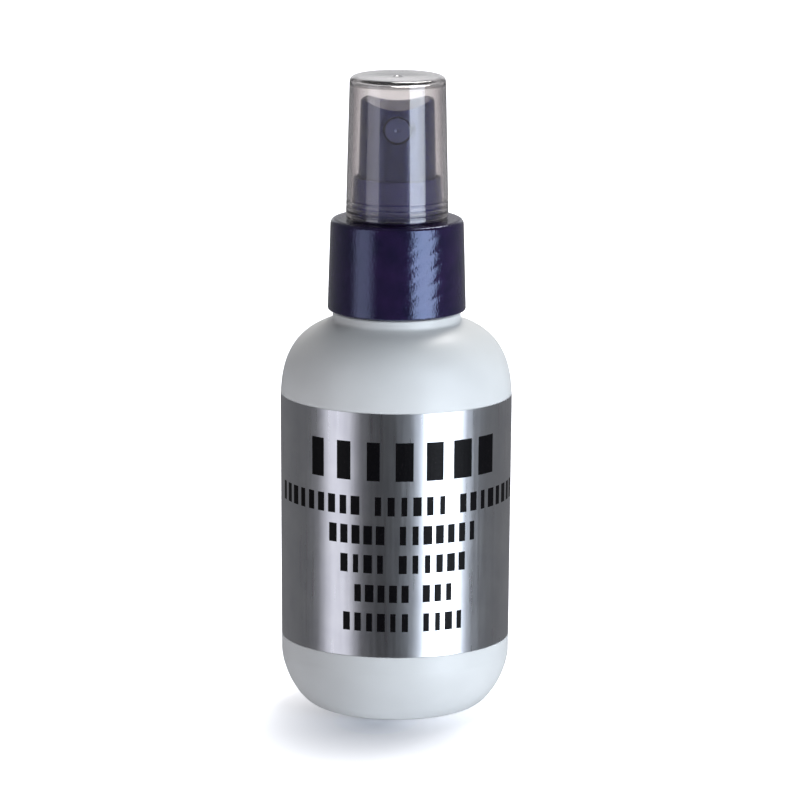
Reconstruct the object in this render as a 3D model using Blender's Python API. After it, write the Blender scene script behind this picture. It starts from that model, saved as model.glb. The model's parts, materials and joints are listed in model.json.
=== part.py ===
"""Lens cleaning spray: a round bottle with a fine-mist finger pump, as separate pieces.

Metres, +Z up. The origin is the centre of the base, on the surface that the bottle stands on.
The nozzle faces -Y. Every moving piece has its origin on the bottle's axis, about or along which it moves.
"""
import math

import bmesh
import bpy
from mathutils import Matrix, Vector

MM = 0.001

# ---------------------------------------------------------------- clearances
GAP = 0.3 * MM  # between pieces that touch on the real object
SEAL_GAP = 0.15 * MM  # between a sliding seal and its bore
SNAP_GAP = 0.1 * MM  # between the cover's snap bead and the collar's
THREAD_GAP = 0.45 * MM  # from a thread's crest to the wall that faces it
TURN_GAP = 0.25 * MM  # round a piece that slides or turns inside another

# ---------------------------------------------------------------- bottle
BODY_RADIUS = 24.5 * MM  # at the shoulder
BODY_DRAFT = 0.35 * MM  # how much narrower the body is at the heel
STRAIGHT_TOP = 64.6 * MM  # where the shoulder starts
BOTTLE_WALL = 1.0 * MM
HEEL_IN = 7.4 * MM
HEEL_HEIGHT = 11.7 * MM
HEEL_POWER = 1.61
SHOULDER_CENTRE = 4.5 * MM  # how far from the axis the shoulder's curve would be level
SHOULDER_HEIGHT = 19.1 * MM
SHOULDER_POWER = 2.76
SHOULDER_START = 12.0  # degrees round the curve where its first point lies
STAND_WIDTH = 2.2 * MM
PUSH_UP = 1.8 * MM
NECK_RADIUS = 10.8 * MM
NECK_BORE = 8.9 * MM
NECK_BEAD_WIDTH = 2.75 * MM
NECK_BEAD_HEIGHT = 2.0 * MM
NECK_HEIGHT = 15.35 * MM

# ---------------------------------------------------------------- screw thread
THREAD_PITCH = 3.175 * MM
THREAD_TURNS = 1.5
THREAD_DEPTH = 1.15 * MM
THREAD_ROOT = 1.3 * MM
THREAD_CREST = 0.7 * MM
THREAD_SUNK = 0.4 * MM
THREAD_BELOW_MOUTH = 2.4 * MM

# ---------------------------------------------------------------- label
LABEL_ABOVE_HEEL = 3.5 * MM
LABEL_PAST_STRAIGHT = 2.7 * MM  # how far it runs up over the start of the shoulder
LABEL_FILM = 0.12 * MM
LABEL_SLIT = 1.6 * MM

# ---------------------------------------------------------------- collar
COLLAR_WALL = 2.22 * MM  # at its lower edge
COLLAR_TAPER = 0.57 * MM
COLLAR_PLATE = 1.3 * MM
COLLAR_EDGE = 1.1 * MM
COLLAR_FOOT_EDGE = 0.4 * MM
COLLAR_HOLE = 7.0 * MM
TOWER_TAPER = 0.33 * MM
TOWER_EDGE = 0.4 * MM
TOWER_BEAD_Z = 2.4 * MM
BEAD_HEIGHT = 1.0 * MM
BEAD_DEPTH = 0.2 * MM

# ---------------------------------------------------------------- pump
GASKET_THICKNESS = 1.0 * MM
FLANGE_THICKNESS = 1.2 * MM
HOUSING_WALL = 0.9 * MM
BARREL_BORE = 4.6 * MM
BARREL_SPARE = 2.2 * MM  # bore left below the piston at the end of its stroke
CHAMBER_BORE = 3.4 * MM
CHAMBER_DEPTH = 11.6 * MM
PLUG_DEPTH = 3.4 * MM
PLUG_WALL = 1.0 * MM
CAP_RIM = 1.9 * MM
BALL_RADIUS = 1.5 * MM
BALL_LIFT = 0.9 * MM
BALL_CLEARANCE = 0.45 * MM
SEAT_THROAT = 0.9 * MM
SEAT_SLOPE = math.radians(41)
RIB_HEIGHT = 0.8 * MM
RIB_REACH = 0.7 * MM
RIB_SLOT = 1.0 * MM
SOCKET_DEPTH = 8.0 * MM
TUBE_RADIUS = 1.75 * MM
TUBE_BORE = 1.1 * MM
TUBE_CUT = math.radians(40)
TUBE_OFF_FLOOR = 1.2 * MM
VENT_RADIUS = 0.5 * MM
STEM_RADIUS = 2.3 * MM
STEM_BORE = 1.4 * MM
STROKE = 5.0 * MM
VALVE_SLIP = 0.7 * MM
PISTON_HEIGHT = 5.7 * MM
PISTON_WEB = 1.2 * MM
LIP_THICKNESS = 0.6 * MM
VALVE_RADIUS = 3.1 * MM
VALVE_THICKNESS = 1.6 * MM
VALVE_PIN_RADIUS = 1.4 * MM
VALVE_PIN_LENGTH = 4.0 * MM
SHAFT_INSIDE_STEM = 7.0 * MM
SPRING_RADIUS = 2.35 * MM
SPRING_WIRE = 0.3 * MM
SPRING_TURNS = 6.5

# ---------------------------------------------------------------- actuator and cover
ACTUATOR_RADIUS = 8.2 * MM
ACTUATOR_TAPER = 0.43 * MM
ACTUATOR_RISE = 16.6 * MM
ACTUATOR_ROOM = 1.2 * MM  # left under the pressed actuator
ACTUATOR_OVERLAP = 2.2 * MM  # how far its skirt reaches into the tower
ACTUATOR_WALL = 1.1 * MM
ACTUATOR_ROOF = 1.6 * MM
ACTUATOR_EDGE = 0.8 * MM
FINGER_GROOVE = 1.7 * MM  # depth of the hollow that runs front to back across the top
GROOVE_RIM = 1.2 * MM  # width of the rim left on each side of it
TOWER_WALL = 0.7 * MM
CORE_WALL = 1.3 * MM
STEM_IN_CORE = 9.2 * MM
NOZZLE_BELOW_TOP = 5.9 * MM
NOZZLE_RADIUS = 2.65 * MM
NOZZLE_LENGTH = 2.6 * MM
NOZZLE_WALL = 0.8 * MM
NOZZLE_FACE = 0.6 * MM
ORIFICE_RADIUS = 0.2 * MM
NOZZLE_SUNK = 0.35 * MM
BOSS_WALL = 0.8 * MM
FEED_RADIUS = 0.6 * MM
COVER_HEADROOM = 3.6 * MM
COVER_WALL = 0.85 * MM
COVER_ROOF = 1.0 * MM
COVER_TAPER = 0.73 * MM
COVER_EDGE = 1.3 * MM

# ---------------------------------------------------------------- sides of each round piece
BODY_SIDES = 40
COVER_SIDES = 32
PUMP_SIDES = 20
THREAD_STEPS = 20

# ---------------------------------------------------------------- heights worked out from the sizes
HEEL_TOP_RADIUS = BODY_RADIUS - BODY_DRAFT
SHOULDER_IN = BODY_RADIUS - SHOULDER_CENTRE
STAND_RADIUS = HEEL_TOP_RADIUS - HEEL_IN
NECK_BEAD_RADIUS = NECK_RADIUS + NECK_BEAD_WIDTH
LABEL_BOTTOM = HEEL_HEIGHT + LABEL_ABOVE_HEEL
LABEL_TOP = STRAIGHT_TOP + LABEL_PAST_STRAIGHT


def superellipse_height(reach, half_width, height, power):
    """Height of a superellipse quarter at a distance from its centre."""
    return height * (1 - (reach / half_width) ** power) ** (1 / power)


SHOULDER_TOP = STRAIGHT_TOP + superellipse_height(
    NECK_BEAD_RADIUS - SHOULDER_CENTRE, SHOULDER_IN, SHOULDER_HEIGHT, SHOULDER_POWER
)
NECK_FOOT = SHOULDER_TOP + NECK_BEAD_HEIGHT
MOUTH = NECK_FOOT + NECK_HEIGHT
GASKET_BOTTOM = MOUTH + GAP
FLANGE_BOTTOM = GASKET_BOTTOM + GASKET_THICKNESS + GAP
FLANGE_TOP = FLANGE_BOTTOM + FLANGE_THICKNESS
PLATE_BOTTOM = FLANGE_TOP + GAP
COLLAR_TOP = PLATE_BOTTOM + COLLAR_PLATE
COLLAR_BOTTOM = NECK_FOOT + GAP
THREAD_CREST_RADIUS = NECK_RADIUS + THREAD_DEPTH
COLLAR_BORE = THREAD_CREST_RADIUS + THREAD_GAP
COLLAR_RADIUS = COLLAR_BORE + COLLAR_WALL
FLANGE_RADIUS = THREAD_CREST_RADIUS - GAP
CAP_TOP = FLANGE_TOP + GAP + CAP_RIM
ACTUATOR_BOTTOM = CAP_TOP + ACTUATOR_ROOM + STROKE
TOWER_TOP = ACTUATOR_BOTTOM + ACTUATOR_OVERLAP
ACTUATOR_TOP = TOWER_TOP + ACTUATOR_RISE
TOWER_BORE = ACTUATOR_RADIUS + TURN_GAP
TOWER_TOP_RADIUS = TOWER_BORE + TOWER_WALL
TOWER_RADIUS = TOWER_TOP_RADIUS + TOWER_TAPER
TOWER_BEAD_RADIUS = TOWER_RADIUS + BEAD_DEPTH
COVER_BEAD_RADIUS = TOWER_BEAD_RADIUS + SNAP_GAP
COVER_BOTTOM = COLLAR_TOP + GAP
COVER_TOP = ACTUATOR_TOP + COVER_HEADROOM + COVER_ROOF
COVER_RADIUS = COVER_BEAD_RADIUS + BEAD_DEPTH + COVER_WALL
PLUG_RADIUS = BARREL_BORE - GAP
PLUG_BOTTOM = FLANGE_TOP + GAP - PLUG_DEPTH
PISTON_TOP = PLUG_BOTTOM - GAP
PISTON_BOTTOM = PISTON_TOP - PISTON_HEIGHT
PISTON_RADIUS = BARREL_BORE - SEAL_GAP
BARREL_FLOOR = PISTON_BOTTOM - (STROKE - VALVE_SLIP) - BARREL_SPARE
CHAMBER_FLOOR = BARREL_FLOOR - CHAMBER_DEPTH
BALL_CHAMBER_BORE = BALL_RADIUS + BALL_CLEARANCE
BALL_CHAMBER_TOP = CHAMBER_FLOOR - RIB_HEIGHT
BALL_Z = BALL_CHAMBER_TOP - GAP - BALL_LIFT - BALL_RADIUS
SEAT_APEX = BALL_Z - (BALL_RADIUS + GAP) / math.sin(SEAT_SLOPE)
SEAT_BOTTOM = SEAT_APEX + SEAT_THROAT / math.tan(SEAT_SLOPE)
SEAT_TOP = SEAT_APEX + BALL_CHAMBER_BORE / math.tan(SEAT_SLOPE)
SOCKET_TOP = SEAT_BOTTOM - HOUSING_WALL
SOCKET_BOTTOM = SOCKET_TOP - SOCKET_DEPTH
SOCKET_BORE = TUBE_RADIUS + GAP
CAP_RIM_RADIUS = COLLAR_HOLE - GAP
SHAFT_RADIUS = STEM_BORE - GAP
VALVE_TOP = PISTON_BOTTOM - GAP
VALVE_BOTTOM = VALVE_TOP - VALVE_THICKNESS
STEM_BOTTOM = PISTON_TOP + VALVE_SLIP + GAP
CORE_RADIUS = STEM_RADIUS + TURN_GAP + CORE_WALL
STEM_TOP = ACTUATOR_BOTTOM + STEM_IN_CORE
NOZZLE_Z = ACTUATOR_TOP - NOZZLE_BELOW_TOP
TUBE_TOP = SOCKET_TOP - GAP
TUBE_BOTTOM = PUSH_UP + BOTTLE_WALL + TUBE_OFF_FLOOR


# ---------------------------------------------------------------- materials
def plastic(name, colour, roughness, metallic=0.0, alpha=1.0):
    """A Principled BSDF material."""
    material = bpy.data.materials.new(name)
    material.use_nodes = True
    shader = material.node_tree.nodes["Principled BSDF"]
    shader.inputs["Base Color"].default_value = (*colour, 1.0)
    shader.inputs["Roughness"].default_value = roughness
    shader.inputs["Metallic"].default_value = metallic
    shader.inputs["Alpha"].default_value = alpha
    material.diffuse_color = (*colour, alpha)
    return material


# ---------------------------------------------------------------- shape helpers
def quarter(centre, half_width, height, steps, power=2.0, start=0.0, end=90.0):
    """Points on a superellipse quarter, from start to end degrees above the horizontal."""
    points = []
    for step in range(steps + 1):
        angle = math.radians(start + (end - start) * step / steps)
        across = max(math.cos(angle), 0.0) ** (2 / power)
        up = max(math.sin(angle), 0.0) ** (2 / power)
        points.append((centre[0] + half_width * across, centre[1] + height * up))
    return points


def spun(outline, sides):
    """A closed bmesh: an outline of (radius, height) points turned about +Z.

    An outline that starts and ends on the axis is left open there. Any other is closed to a ring.
    """
    mesh = bmesh.new()
    verts = [mesh.verts.new((radius, 0.0, height)) for radius, height in outline]
    pairs = list(zip(verts, verts[1:]))
    if outline[0][0] > 0:
        pairs.append((verts[-1], verts[0]))
    edges = [mesh.edges.new(pair) for pair in pairs]
    bmesh.ops.spin(
        mesh,
        geom=verts + edges,
        cent=(0, 0, 0),
        axis=(0, 0, 1),
        angle=2 * math.pi,
        steps=sides,
        use_merge=True,
        use_duplicate=False,
    )
    bmesh.ops.remove_doubles(mesh, verts=mesh.verts, dist=0.001 * MM)
    bmesh.ops.recalc_face_normals(mesh, faces=mesh.faces)
    return mesh


def placed(name, mesh, material, height=0.0):
    """An object whose mesh is given in world heights and whose origin is on the axis at a height."""
    bmesh.ops.translate(mesh, verts=mesh.verts, vec=(0, 0, -height))
    data = bpy.data.meshes.new(name)
    mesh.to_mesh(data)
    mesh.free()
    data.shade_smooth()
    data.set_sharp_from_angle(angle=math.radians(35))
    item = bpy.data.objects.new(name, data)
    item.location = (0, 0, height)
    if material:
        data.materials.append(material)
    bpy.context.scene.collection.objects.link(item)
    return item


def turned(name, outline, sides, material, height=0.0):
    return placed(name, spun(outline, sides), material, height)


def cut_or_join(item, tool, operation):
    """Combines a helper object with a piece and hides the helper."""
    tool.hide_render = True
    tool.display_type = "WIRE"
    modifier = item.modifiers.new(tool.name, "BOOLEAN")
    modifier.operation = operation
    modifier.solver = "EXACT"
    modifier.object = tool


def rod(name, radius, start, end, sides, inner=0.0):
    """A round helper bar or tube between two points."""
    start, end = Vector(start), Vector(end)
    length = (end - start).length
    if inner:
        outline = [(inner, 0.0), (radius, 0.0), (radius, length), (inner, length)]
    else:
        outline = [(0.0, 0.0), (radius, 0.0), (radius, length), (0.0, length)]
    mesh = spun(outline, sides)
    turn = (end - start).to_track_quat("Z", "Y").to_matrix().to_4x4()
    bmesh.ops.transform(mesh, matrix=Matrix.Translation(start) @ turn, verts=mesh.verts)
    return placed(name, mesh, None)


def helix_ridge(name, wall_radius, crest_radius, low, turns):
    """A thread's ridge: a trapezium swept up a right-hand helix, with ends that fade into the wall."""
    outward = 1 if crest_radius > wall_radius else -1
    sunk_radius = wall_radius - outward * THREAD_SUNK
    steps = round(turns * THREAD_STEPS)
    mesh = bmesh.new()
    rows = []
    for step in range(steps + 1):
        angle = 2 * math.pi * step / THREAD_STEPS
        middle = low + THREAD_PITCH * step / THREAD_STEPS
        fade = min(1.0, (min(step, steps - step) + 0.4) / 3)
        crest = wall_radius + (crest_radius - wall_radius) * fade
        section = (
            (sunk_radius, -THREAD_ROOT / 2),
            (crest, -THREAD_CREST / 2 * fade),
            (crest, THREAD_CREST / 2 * fade),
            (sunk_radius, THREAD_ROOT / 2),
        )
        rows.append(
            [
                mesh.verts.new((radius * math.cos(angle), radius * math.sin(angle), middle + rise))
                for radius, rise in section
            ]
        )
    for row, following in zip(rows, rows[1:]):
        for side in range(4):
            other = (side + 1) % 4
            mesh.faces.new((row[side], row[other], following[other], following[side]))
    mesh.faces.new(rows[0])
    mesh.faces.new(rows[-1])
    bmesh.ops.recalc_face_normals(mesh, faces=mesh.faces)
    return placed(name, mesh, None)


def axis_empty(name, height):
    """The axis that a group of moving pieces hangs on."""
    empty = bpy.data.objects.new(name, None)
    empty.empty_display_size = 10 * MM
    empty.location = (0, 0, height)
    bpy.context.scene.collection.objects.link(empty)
    return empty


def hang(parent, *items):
    for item in items:
        item.parent = parent
        item.matrix_parent_inverse = Matrix.Translation(parent.location).inverted()


# ---------------------------------------------------------------- bottle and label
def panel_radius(height):
    """The body's outside radius on its straight, slightly tapered part."""
    share = (height - HEEL_HEIGHT) / (STRAIGHT_TOP - HEEL_HEIGHT)
    return HEEL_TOP_RADIUS + BODY_DRAFT * min(share, 1.0)


def heel(wall, steps):
    """The rounded heel, from the standing ring up to the body."""
    points = quarter(
        (STAND_RADIUS, 0.0), HEEL_IN - wall, HEEL_HEIGHT - wall, steps, HEEL_POWER
    )
    return [(radius, HEEL_HEIGHT - height) for radius, height in reversed(points)]


def shoulder(wall, stop_radius, steps):
    """The domed shoulder, from the body in to a radius."""
    share = (stop_radius - SHOULDER_CENTRE) / (SHOULDER_IN - wall)
    last = math.degrees(math.acos(share ** (SHOULDER_POWER / 2)))
    first = SHOULDER_START
    return quarter(
        (SHOULDER_CENTRE, STRAIGHT_TOP),
        SHOULDER_IN - wall,
        SHOULDER_HEIGHT - wall,
        steps,
        SHOULDER_POWER,
        first,
        last,
    )


def make_bottle(material):
    recess = LABEL_FILM + GAP
    foot = STAND_RADIUS - STAND_WIDTH
    low, high = LABEL_BOTTOM - GAP, LABEL_TOP + GAP
    outline = [(0.0, PUSH_UP)]
    outline += list(reversed(quarter((0.0, 0.0), foot, PUSH_UP, 4)))[1:]
    outline += heel(0.0, 7)
    outline += [
        (panel_radius(low), low),
        (panel_radius(low) - recess, low),
        (panel_radius(high) - recess, high),
        (panel_radius(high), high),
    ]
    outline += [point for point in shoulder(0.0, NECK_BEAD_RADIUS, 9) if point[1] > high]
    outline += [
        (NECK_BEAD_RADIUS, NECK_FOOT),
        (NECK_RADIUS, NECK_FOOT),
        (NECK_RADIUS, MOUTH),
        (NECK_BORE, MOUTH),
    ]
    outline += list(reversed(shoulder(BOTTLE_WALL, NECK_BORE, 6)))
    outline += list(reversed(heel(BOTTLE_WALL, 5)))
    outline += [(radius, height + BOTTLE_WALL) for radius, height in quarter((0.0, 0.0), foot, PUSH_UP, 3)]
    bottle = turned("bottle", outline, BODY_SIDES, material)
    ridge = helix_ridge(
        "neck_thread",
        NECK_RADIUS,
        THREAD_CREST_RADIUS,
        MOUTH - THREAD_BELOW_MOUTH - THREAD_TURNS * THREAD_PITCH,
        THREAD_TURNS,
    )
    cut_or_join(bottle, ridge, "UNION")
    return bottle


def make_label(material):
    """The wrap-round film, with a slit at the back where its ends meet."""
    mesh = bmesh.new()
    half_slit = LABEL_SLIT / 2 / BODY_RADIUS
    first = math.pi / 2 + half_slit
    sweep = 2 * math.pi - 2 * half_slit
    rows = []
    for step in range(BODY_SIDES + 1):
        angle = first + sweep * step / BODY_SIDES
        row = []
        for height, depth in (
            (LABEL_BOTTOM, LABEL_FILM),
            (LABEL_BOTTOM, 0.0),
            (LABEL_TOP, 0.0),
            (LABEL_TOP, LABEL_FILM),
        ):
            radius = panel_radius(height) - depth
            row.append(mesh.verts.new((radius * math.cos(angle), radius * math.sin(angle), height)))
        rows.append(row)
    for row, following in zip(rows, rows[1:]):
        for side in range(4):
            other = (side + 1) % 4
            mesh.faces.new((row[side], row[other], following[other], following[side]))
    mesh.faces.new(rows[0])
    mesh.faces.new(rows[-1])
    bmesh.ops.recalc_face_normals(mesh, faces=mesh.faces)
    return placed("label", mesh, material)


# ---------------------------------------------------------------- collar, gasket and cover
def bead(radius, middle, depth):
    """Three points of a rounded bead on a wall: it stands out for a positive depth, in for a negative one."""
    return [
        (radius, middle - BEAD_HEIGHT / 2),
        (radius + depth, middle),
        (radius, middle + BEAD_HEIGHT / 2),
    ]


def make_collar(material):
    top_radius = COLLAR_RADIUS - COLLAR_TAPER
    outline = [
        (COLLAR_BORE, COLLAR_BOTTOM),
        (COLLAR_RADIUS - COLLAR_FOOT_EDGE, COLLAR_BOTTOM),
        (COLLAR_RADIUS, COLLAR_BOTTOM + COLLAR_FOOT_EDGE),
    ]
    outline += quarter(
        (top_radius - COLLAR_EDGE, COLLAR_TOP - COLLAR_EDGE), COLLAR_EDGE, COLLAR_EDGE, 4
    )
    outline += [(TOWER_RADIUS, COLLAR_TOP)]
    outline += bead(TOWER_RADIUS, COLLAR_TOP + TOWER_BEAD_Z, BEAD_DEPTH)
    outline += [
        (TOWER_TOP_RADIUS, TOWER_TOP - TOWER_EDGE),
        (TOWER_TOP_RADIUS - TOWER_EDGE, TOWER_TOP),
        (TOWER_BORE, TOWER_TOP),
        (TOWER_BORE, COLLAR_TOP),
        (COLLAR_HOLE, COLLAR_TOP),
        (COLLAR_HOLE, PLATE_BOTTOM),
        (COLLAR_BORE, PLATE_BOTTOM),
    ]
    collar = turned("collar", outline, BODY_SIDES, material, COLLAR_BOTTOM)
    ridge = helix_ridge(
        "collar_thread",
        COLLAR_BORE,
        NECK_RADIUS + THREAD_GAP,
        MOUTH - THREAD_BELOW_MOUTH - (THREAD_TURNS + 0.5) * THREAD_PITCH,
        THREAD_TURNS,
    )
    cut_or_join(collar, ridge, "UNION")
    return collar


def make_gasket(material):
    outline = [
        (NECK_BORE, GASKET_BOTTOM),
        (FLANGE_RADIUS, GASKET_BOTTOM),
        (FLANGE_RADIUS, GASKET_BOTTOM + GASKET_THICKNESS),
        (NECK_BORE, GASKET_BOTTOM + GASKET_THICKNESS),
    ]
    return turned("neck_gasket", outline, COVER_SIDES, material, GASKET_BOTTOM)


def make_cover(material):
    top_radius = COVER_RADIUS - COVER_TAPER
    inner_edge = COVER_EDGE - COVER_WALL / 2
    roof = COVER_TOP - COVER_ROOF
    outline = [(0.0, COVER_TOP)]
    outline += list(
        reversed(quarter((top_radius - COVER_EDGE, COVER_TOP - COVER_EDGE), COVER_EDGE, COVER_EDGE, 4))
    )
    outline += [(COVER_RADIUS, COVER_BOTTOM), (COVER_RADIUS - COVER_WALL, COVER_BOTTOM)]
    outline += bead(COVER_RADIUS - COVER_WALL, COLLAR_TOP + TOWER_BEAD_Z - BEAD_HEIGHT, -BEAD_DEPTH)
    outline += quarter(
        (top_radius - COVER_WALL - inner_edge, roof - inner_edge), inner_edge, inner_edge, 3
    )
    outline += [(0.0, roof)]
    return turned("overcap", outline, COVER_SIDES, material, COVER_BOTTOM)


# ---------------------------------------------------------------- pump
def make_housing(material):
    barrel_radius = BARREL_BORE + HOUSING_WALL
    chamber_radius = CHAMBER_BORE + HOUSING_WALL
    seat_radius = BALL_CHAMBER_BORE + HOUSING_WALL
    socket_radius = SOCKET_BORE + HOUSING_WALL
    rib_radius = BALL_CHAMBER_BORE - RIB_REACH
    outline = [
        (BARREL_BORE, FLANGE_TOP),
        (BARREL_BORE, BARREL_FLOOR),
        (CHAMBER_BORE, BARREL_FLOOR - (BARREL_BORE - CHAMBER_BORE)),
        (CHAMBER_BORE, CHAMBER_FLOOR),
        (rib_radius, CHAMBER_FLOOR),
        (rib_radius, BALL_CHAMBER_TOP),
        (BALL_CHAMBER_BORE, BALL_CHAMBER_TOP),
        (BALL_CHAMBER_BORE, SEAT_TOP),
        (SEAT_THROAT, SEAT_BOTTOM),
        (SEAT_THROAT, SOCKET_TOP),
        (SOCKET_BORE, SOCKET_TOP),
        (SOCKET_BORE, SOCKET_BOTTOM),
        (socket_radius, SOCKET_BOTTOM),
        (socket_radius, SOCKET_TOP),
        (seat_radius, SEAT_TOP),
        (seat_radius, BALL_CHAMBER_TOP),
        (chamber_radius, CHAMBER_FLOOR),
        (chamber_radius, BARREL_FLOOR - (BARREL_BORE - CHAMBER_BORE) - HOUSING_WALL),
        (barrel_radius, BARREL_FLOOR - HOUSING_WALL),
        (barrel_radius, FLANGE_BOTTOM),
        (FLANGE_RADIUS, FLANGE_BOTTOM),
        (FLANGE_RADIUS, FLANGE_TOP),
    ]
    housing = turned("pump_housing", outline, PUMP_SIDES, material, FLANGE_BOTTOM)
    slots = bmesh.new()
    for number in range(3):
        turn = Matrix.Rotation(math.radians(120) * number, 4, "Z")
        middle = Matrix.Translation((rib_radius + RIB_REACH / 2, 0, CHAMBER_FLOOR - RIB_HEIGHT / 2))
        size = Matrix.Diagonal((RIB_REACH + GAP, RIB_SLOT, RIB_HEIGHT + 2 * GAP, 1))
        bmesh.ops.create_cube(slots, size=1.0, matrix=turn @ middle @ size)
    cut_or_join(housing, placed("rib_slots", slots, None), "DIFFERENCE")
    vent_z = PISTON_BOTTOM - HOUSING_WALL
    vent = rod("vent_cut", VENT_RADIUS, (0, BARREL_BORE - GAP, vent_z), (0, barrel_radius + GAP, vent_z), 8)
    cut_or_join(housing, vent, "DIFFERENCE")
    return housing


def make_housing_cap(material):
    """The plug that closes the housing's top and guides the stem."""
    guide = STEM_RADIUS + TURN_GAP
    outline = [
        (guide, CAP_TOP),
        (guide, FLANGE_TOP + GAP - PLUG_WALL),
        (PLUG_RADIUS - PLUG_WALL, FLANGE_TOP + GAP - PLUG_WALL),
        (PLUG_RADIUS - PLUG_WALL, PLUG_BOTTOM),
        (PLUG_RADIUS, PLUG_BOTTOM),
        (PLUG_RADIUS, FLANGE_TOP + GAP),
        (CAP_RIM_RADIUS, FLANGE_TOP + GAP),
        (CAP_RIM_RADIUS, CAP_TOP),
    ]
    return turned("housing_cap", outline, PUMP_SIDES, material, FLANGE_TOP + GAP)


def make_dip_tube(material):
    """The suction tube, its foot cut at a slant so that it can't seal itself on the floor."""
    outline = [
        (TUBE_BORE, TUBE_TOP),
        (TUBE_RADIUS, TUBE_TOP),
        (TUBE_RADIUS, TUBE_BOTTOM),
        (TUBE_BORE, TUBE_BOTTOM),
    ]
    mesh = spun(outline, PUMP_SIDES)
    for vert in mesh.verts:
        if vert.co.z < TUBE_BOTTOM + GAP:
            vert.co.z += (vert.co.x + TUBE_RADIUS) * math.tan(TUBE_CUT)
    return placed("dip_tube", mesh, material)


def make_ball(material):
    mesh = bmesh.new()
    bmesh.ops.create_uvsphere(mesh, u_segments=12, v_segments=8, radius=BALL_RADIUS)
    bmesh.ops.translate(mesh, verts=mesh.verts, vec=(0, 0, BALL_Z))
    return placed("check_ball", mesh, material, BALL_Z)


def make_spring(material):
    """The return spring: a round wire on a helix, between the housing's ledge and the valve."""
    low = CHAMBER_FLOOR + GAP + SPRING_WIRE
    high = VALVE_BOTTOM - GAP - SPRING_WIRE
    steps = round(SPRING_TURNS * 12)
    curve = bpy.data.curves.new("return_spring", "CURVE")
    curve.dimensions = "3D"
    curve.bevel_depth = SPRING_WIRE
    curve.bevel_resolution = 1
    curve.use_fill_caps = True
    line = curve.splines.new("POLY")
    line.points.add(steps)
    for step, point in enumerate(line.points):
        angle = 2 * math.pi * SPRING_TURNS * step / steps
        share = step / steps
        point.co = (
            SPRING_RADIUS * math.cos(angle),
            SPRING_RADIUS * math.sin(angle),
            (high - low) * share,
            1.0,
        )
    curve.materials.append(material)
    spring = bpy.data.objects.new("return_spring", curve)
    spring.location = (0, 0, low)
    bpy.context.scene.collection.objects.link(spring)
    return spring


def make_piston(material):
    """The sliding seal: a sleeve round the valve's shaft, a web, and a lip up and a lip down."""
    middle = (PISTON_TOP + PISTON_BOTTOM) / 2
    sleeve = STEM_BORE + LIP_THICKNESS
    lip_inside = PISTON_RADIUS - LIP_THICKNESS
    outline = [
        (STEM_BORE, PISTON_BOTTOM),
        (sleeve, PISTON_BOTTOM),
        (sleeve, middle - PISTON_WEB / 2),
        (lip_inside, middle - PISTON_WEB / 2),
        (lip_inside, PISTON_BOTTOM + GAP),
        (PISTON_RADIUS, PISTON_BOTTOM + GAP),
        (PISTON_RADIUS - GAP, middle),
        (PISTON_RADIUS, PISTON_TOP),
        (lip_inside, PISTON_TOP),
        (lip_inside, middle + PISTON_WEB / 2),
        (sleeve, middle + PISTON_WEB / 2),
        (sleeve, PISTON_TOP),
        (STEM_BORE, PISTON_TOP),
    ]
    return turned("piston", outline, PUMP_SIDES, material, PISTON_BOTTOM)


def make_upper_stem(material):
    outline = [
        (STEM_BORE, STEM_BOTTOM),
        (STEM_RADIUS, STEM_BOTTOM),
        (STEM_RADIUS, STEM_TOP),
        (STEM_BORE, STEM_TOP),
    ]
    return turned("upper_stem", outline, PUMP_SIDES, material, STEM_BOTTOM)


def make_lower_stem(material):
    """The valve: a shaft held in the hollow stem, a disc that closes the piston, and a pin in the spring."""
    outline = [
        (0.0, VALVE_BOTTOM - VALVE_PIN_LENGTH),
        (VALVE_PIN_RADIUS - GAP, VALVE_BOTTOM - VALVE_PIN_LENGTH),
        (VALVE_PIN_RADIUS, VALVE_BOTTOM - VALVE_PIN_LENGTH + GAP),
        (VALVE_PIN_RADIUS, VALVE_BOTTOM),
        (VALVE_RADIUS, VALVE_BOTTOM),
        (VALVE_RADIUS, VALVE_TOP - VALVE_THICKNESS / 2),
        (SHAFT_RADIUS + GAP, VALVE_TOP),
        (SHAFT_RADIUS, VALVE_TOP),
        (SHAFT_RADIUS, STEM_BOTTOM + SHAFT_INSIDE_STEM),
        (0.0, STEM_BOTTOM + SHAFT_INSIDE_STEM),
    ]
    return turned("lower_stem", outline, PUMP_SIDES, material, VALVE_BOTTOM)


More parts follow.
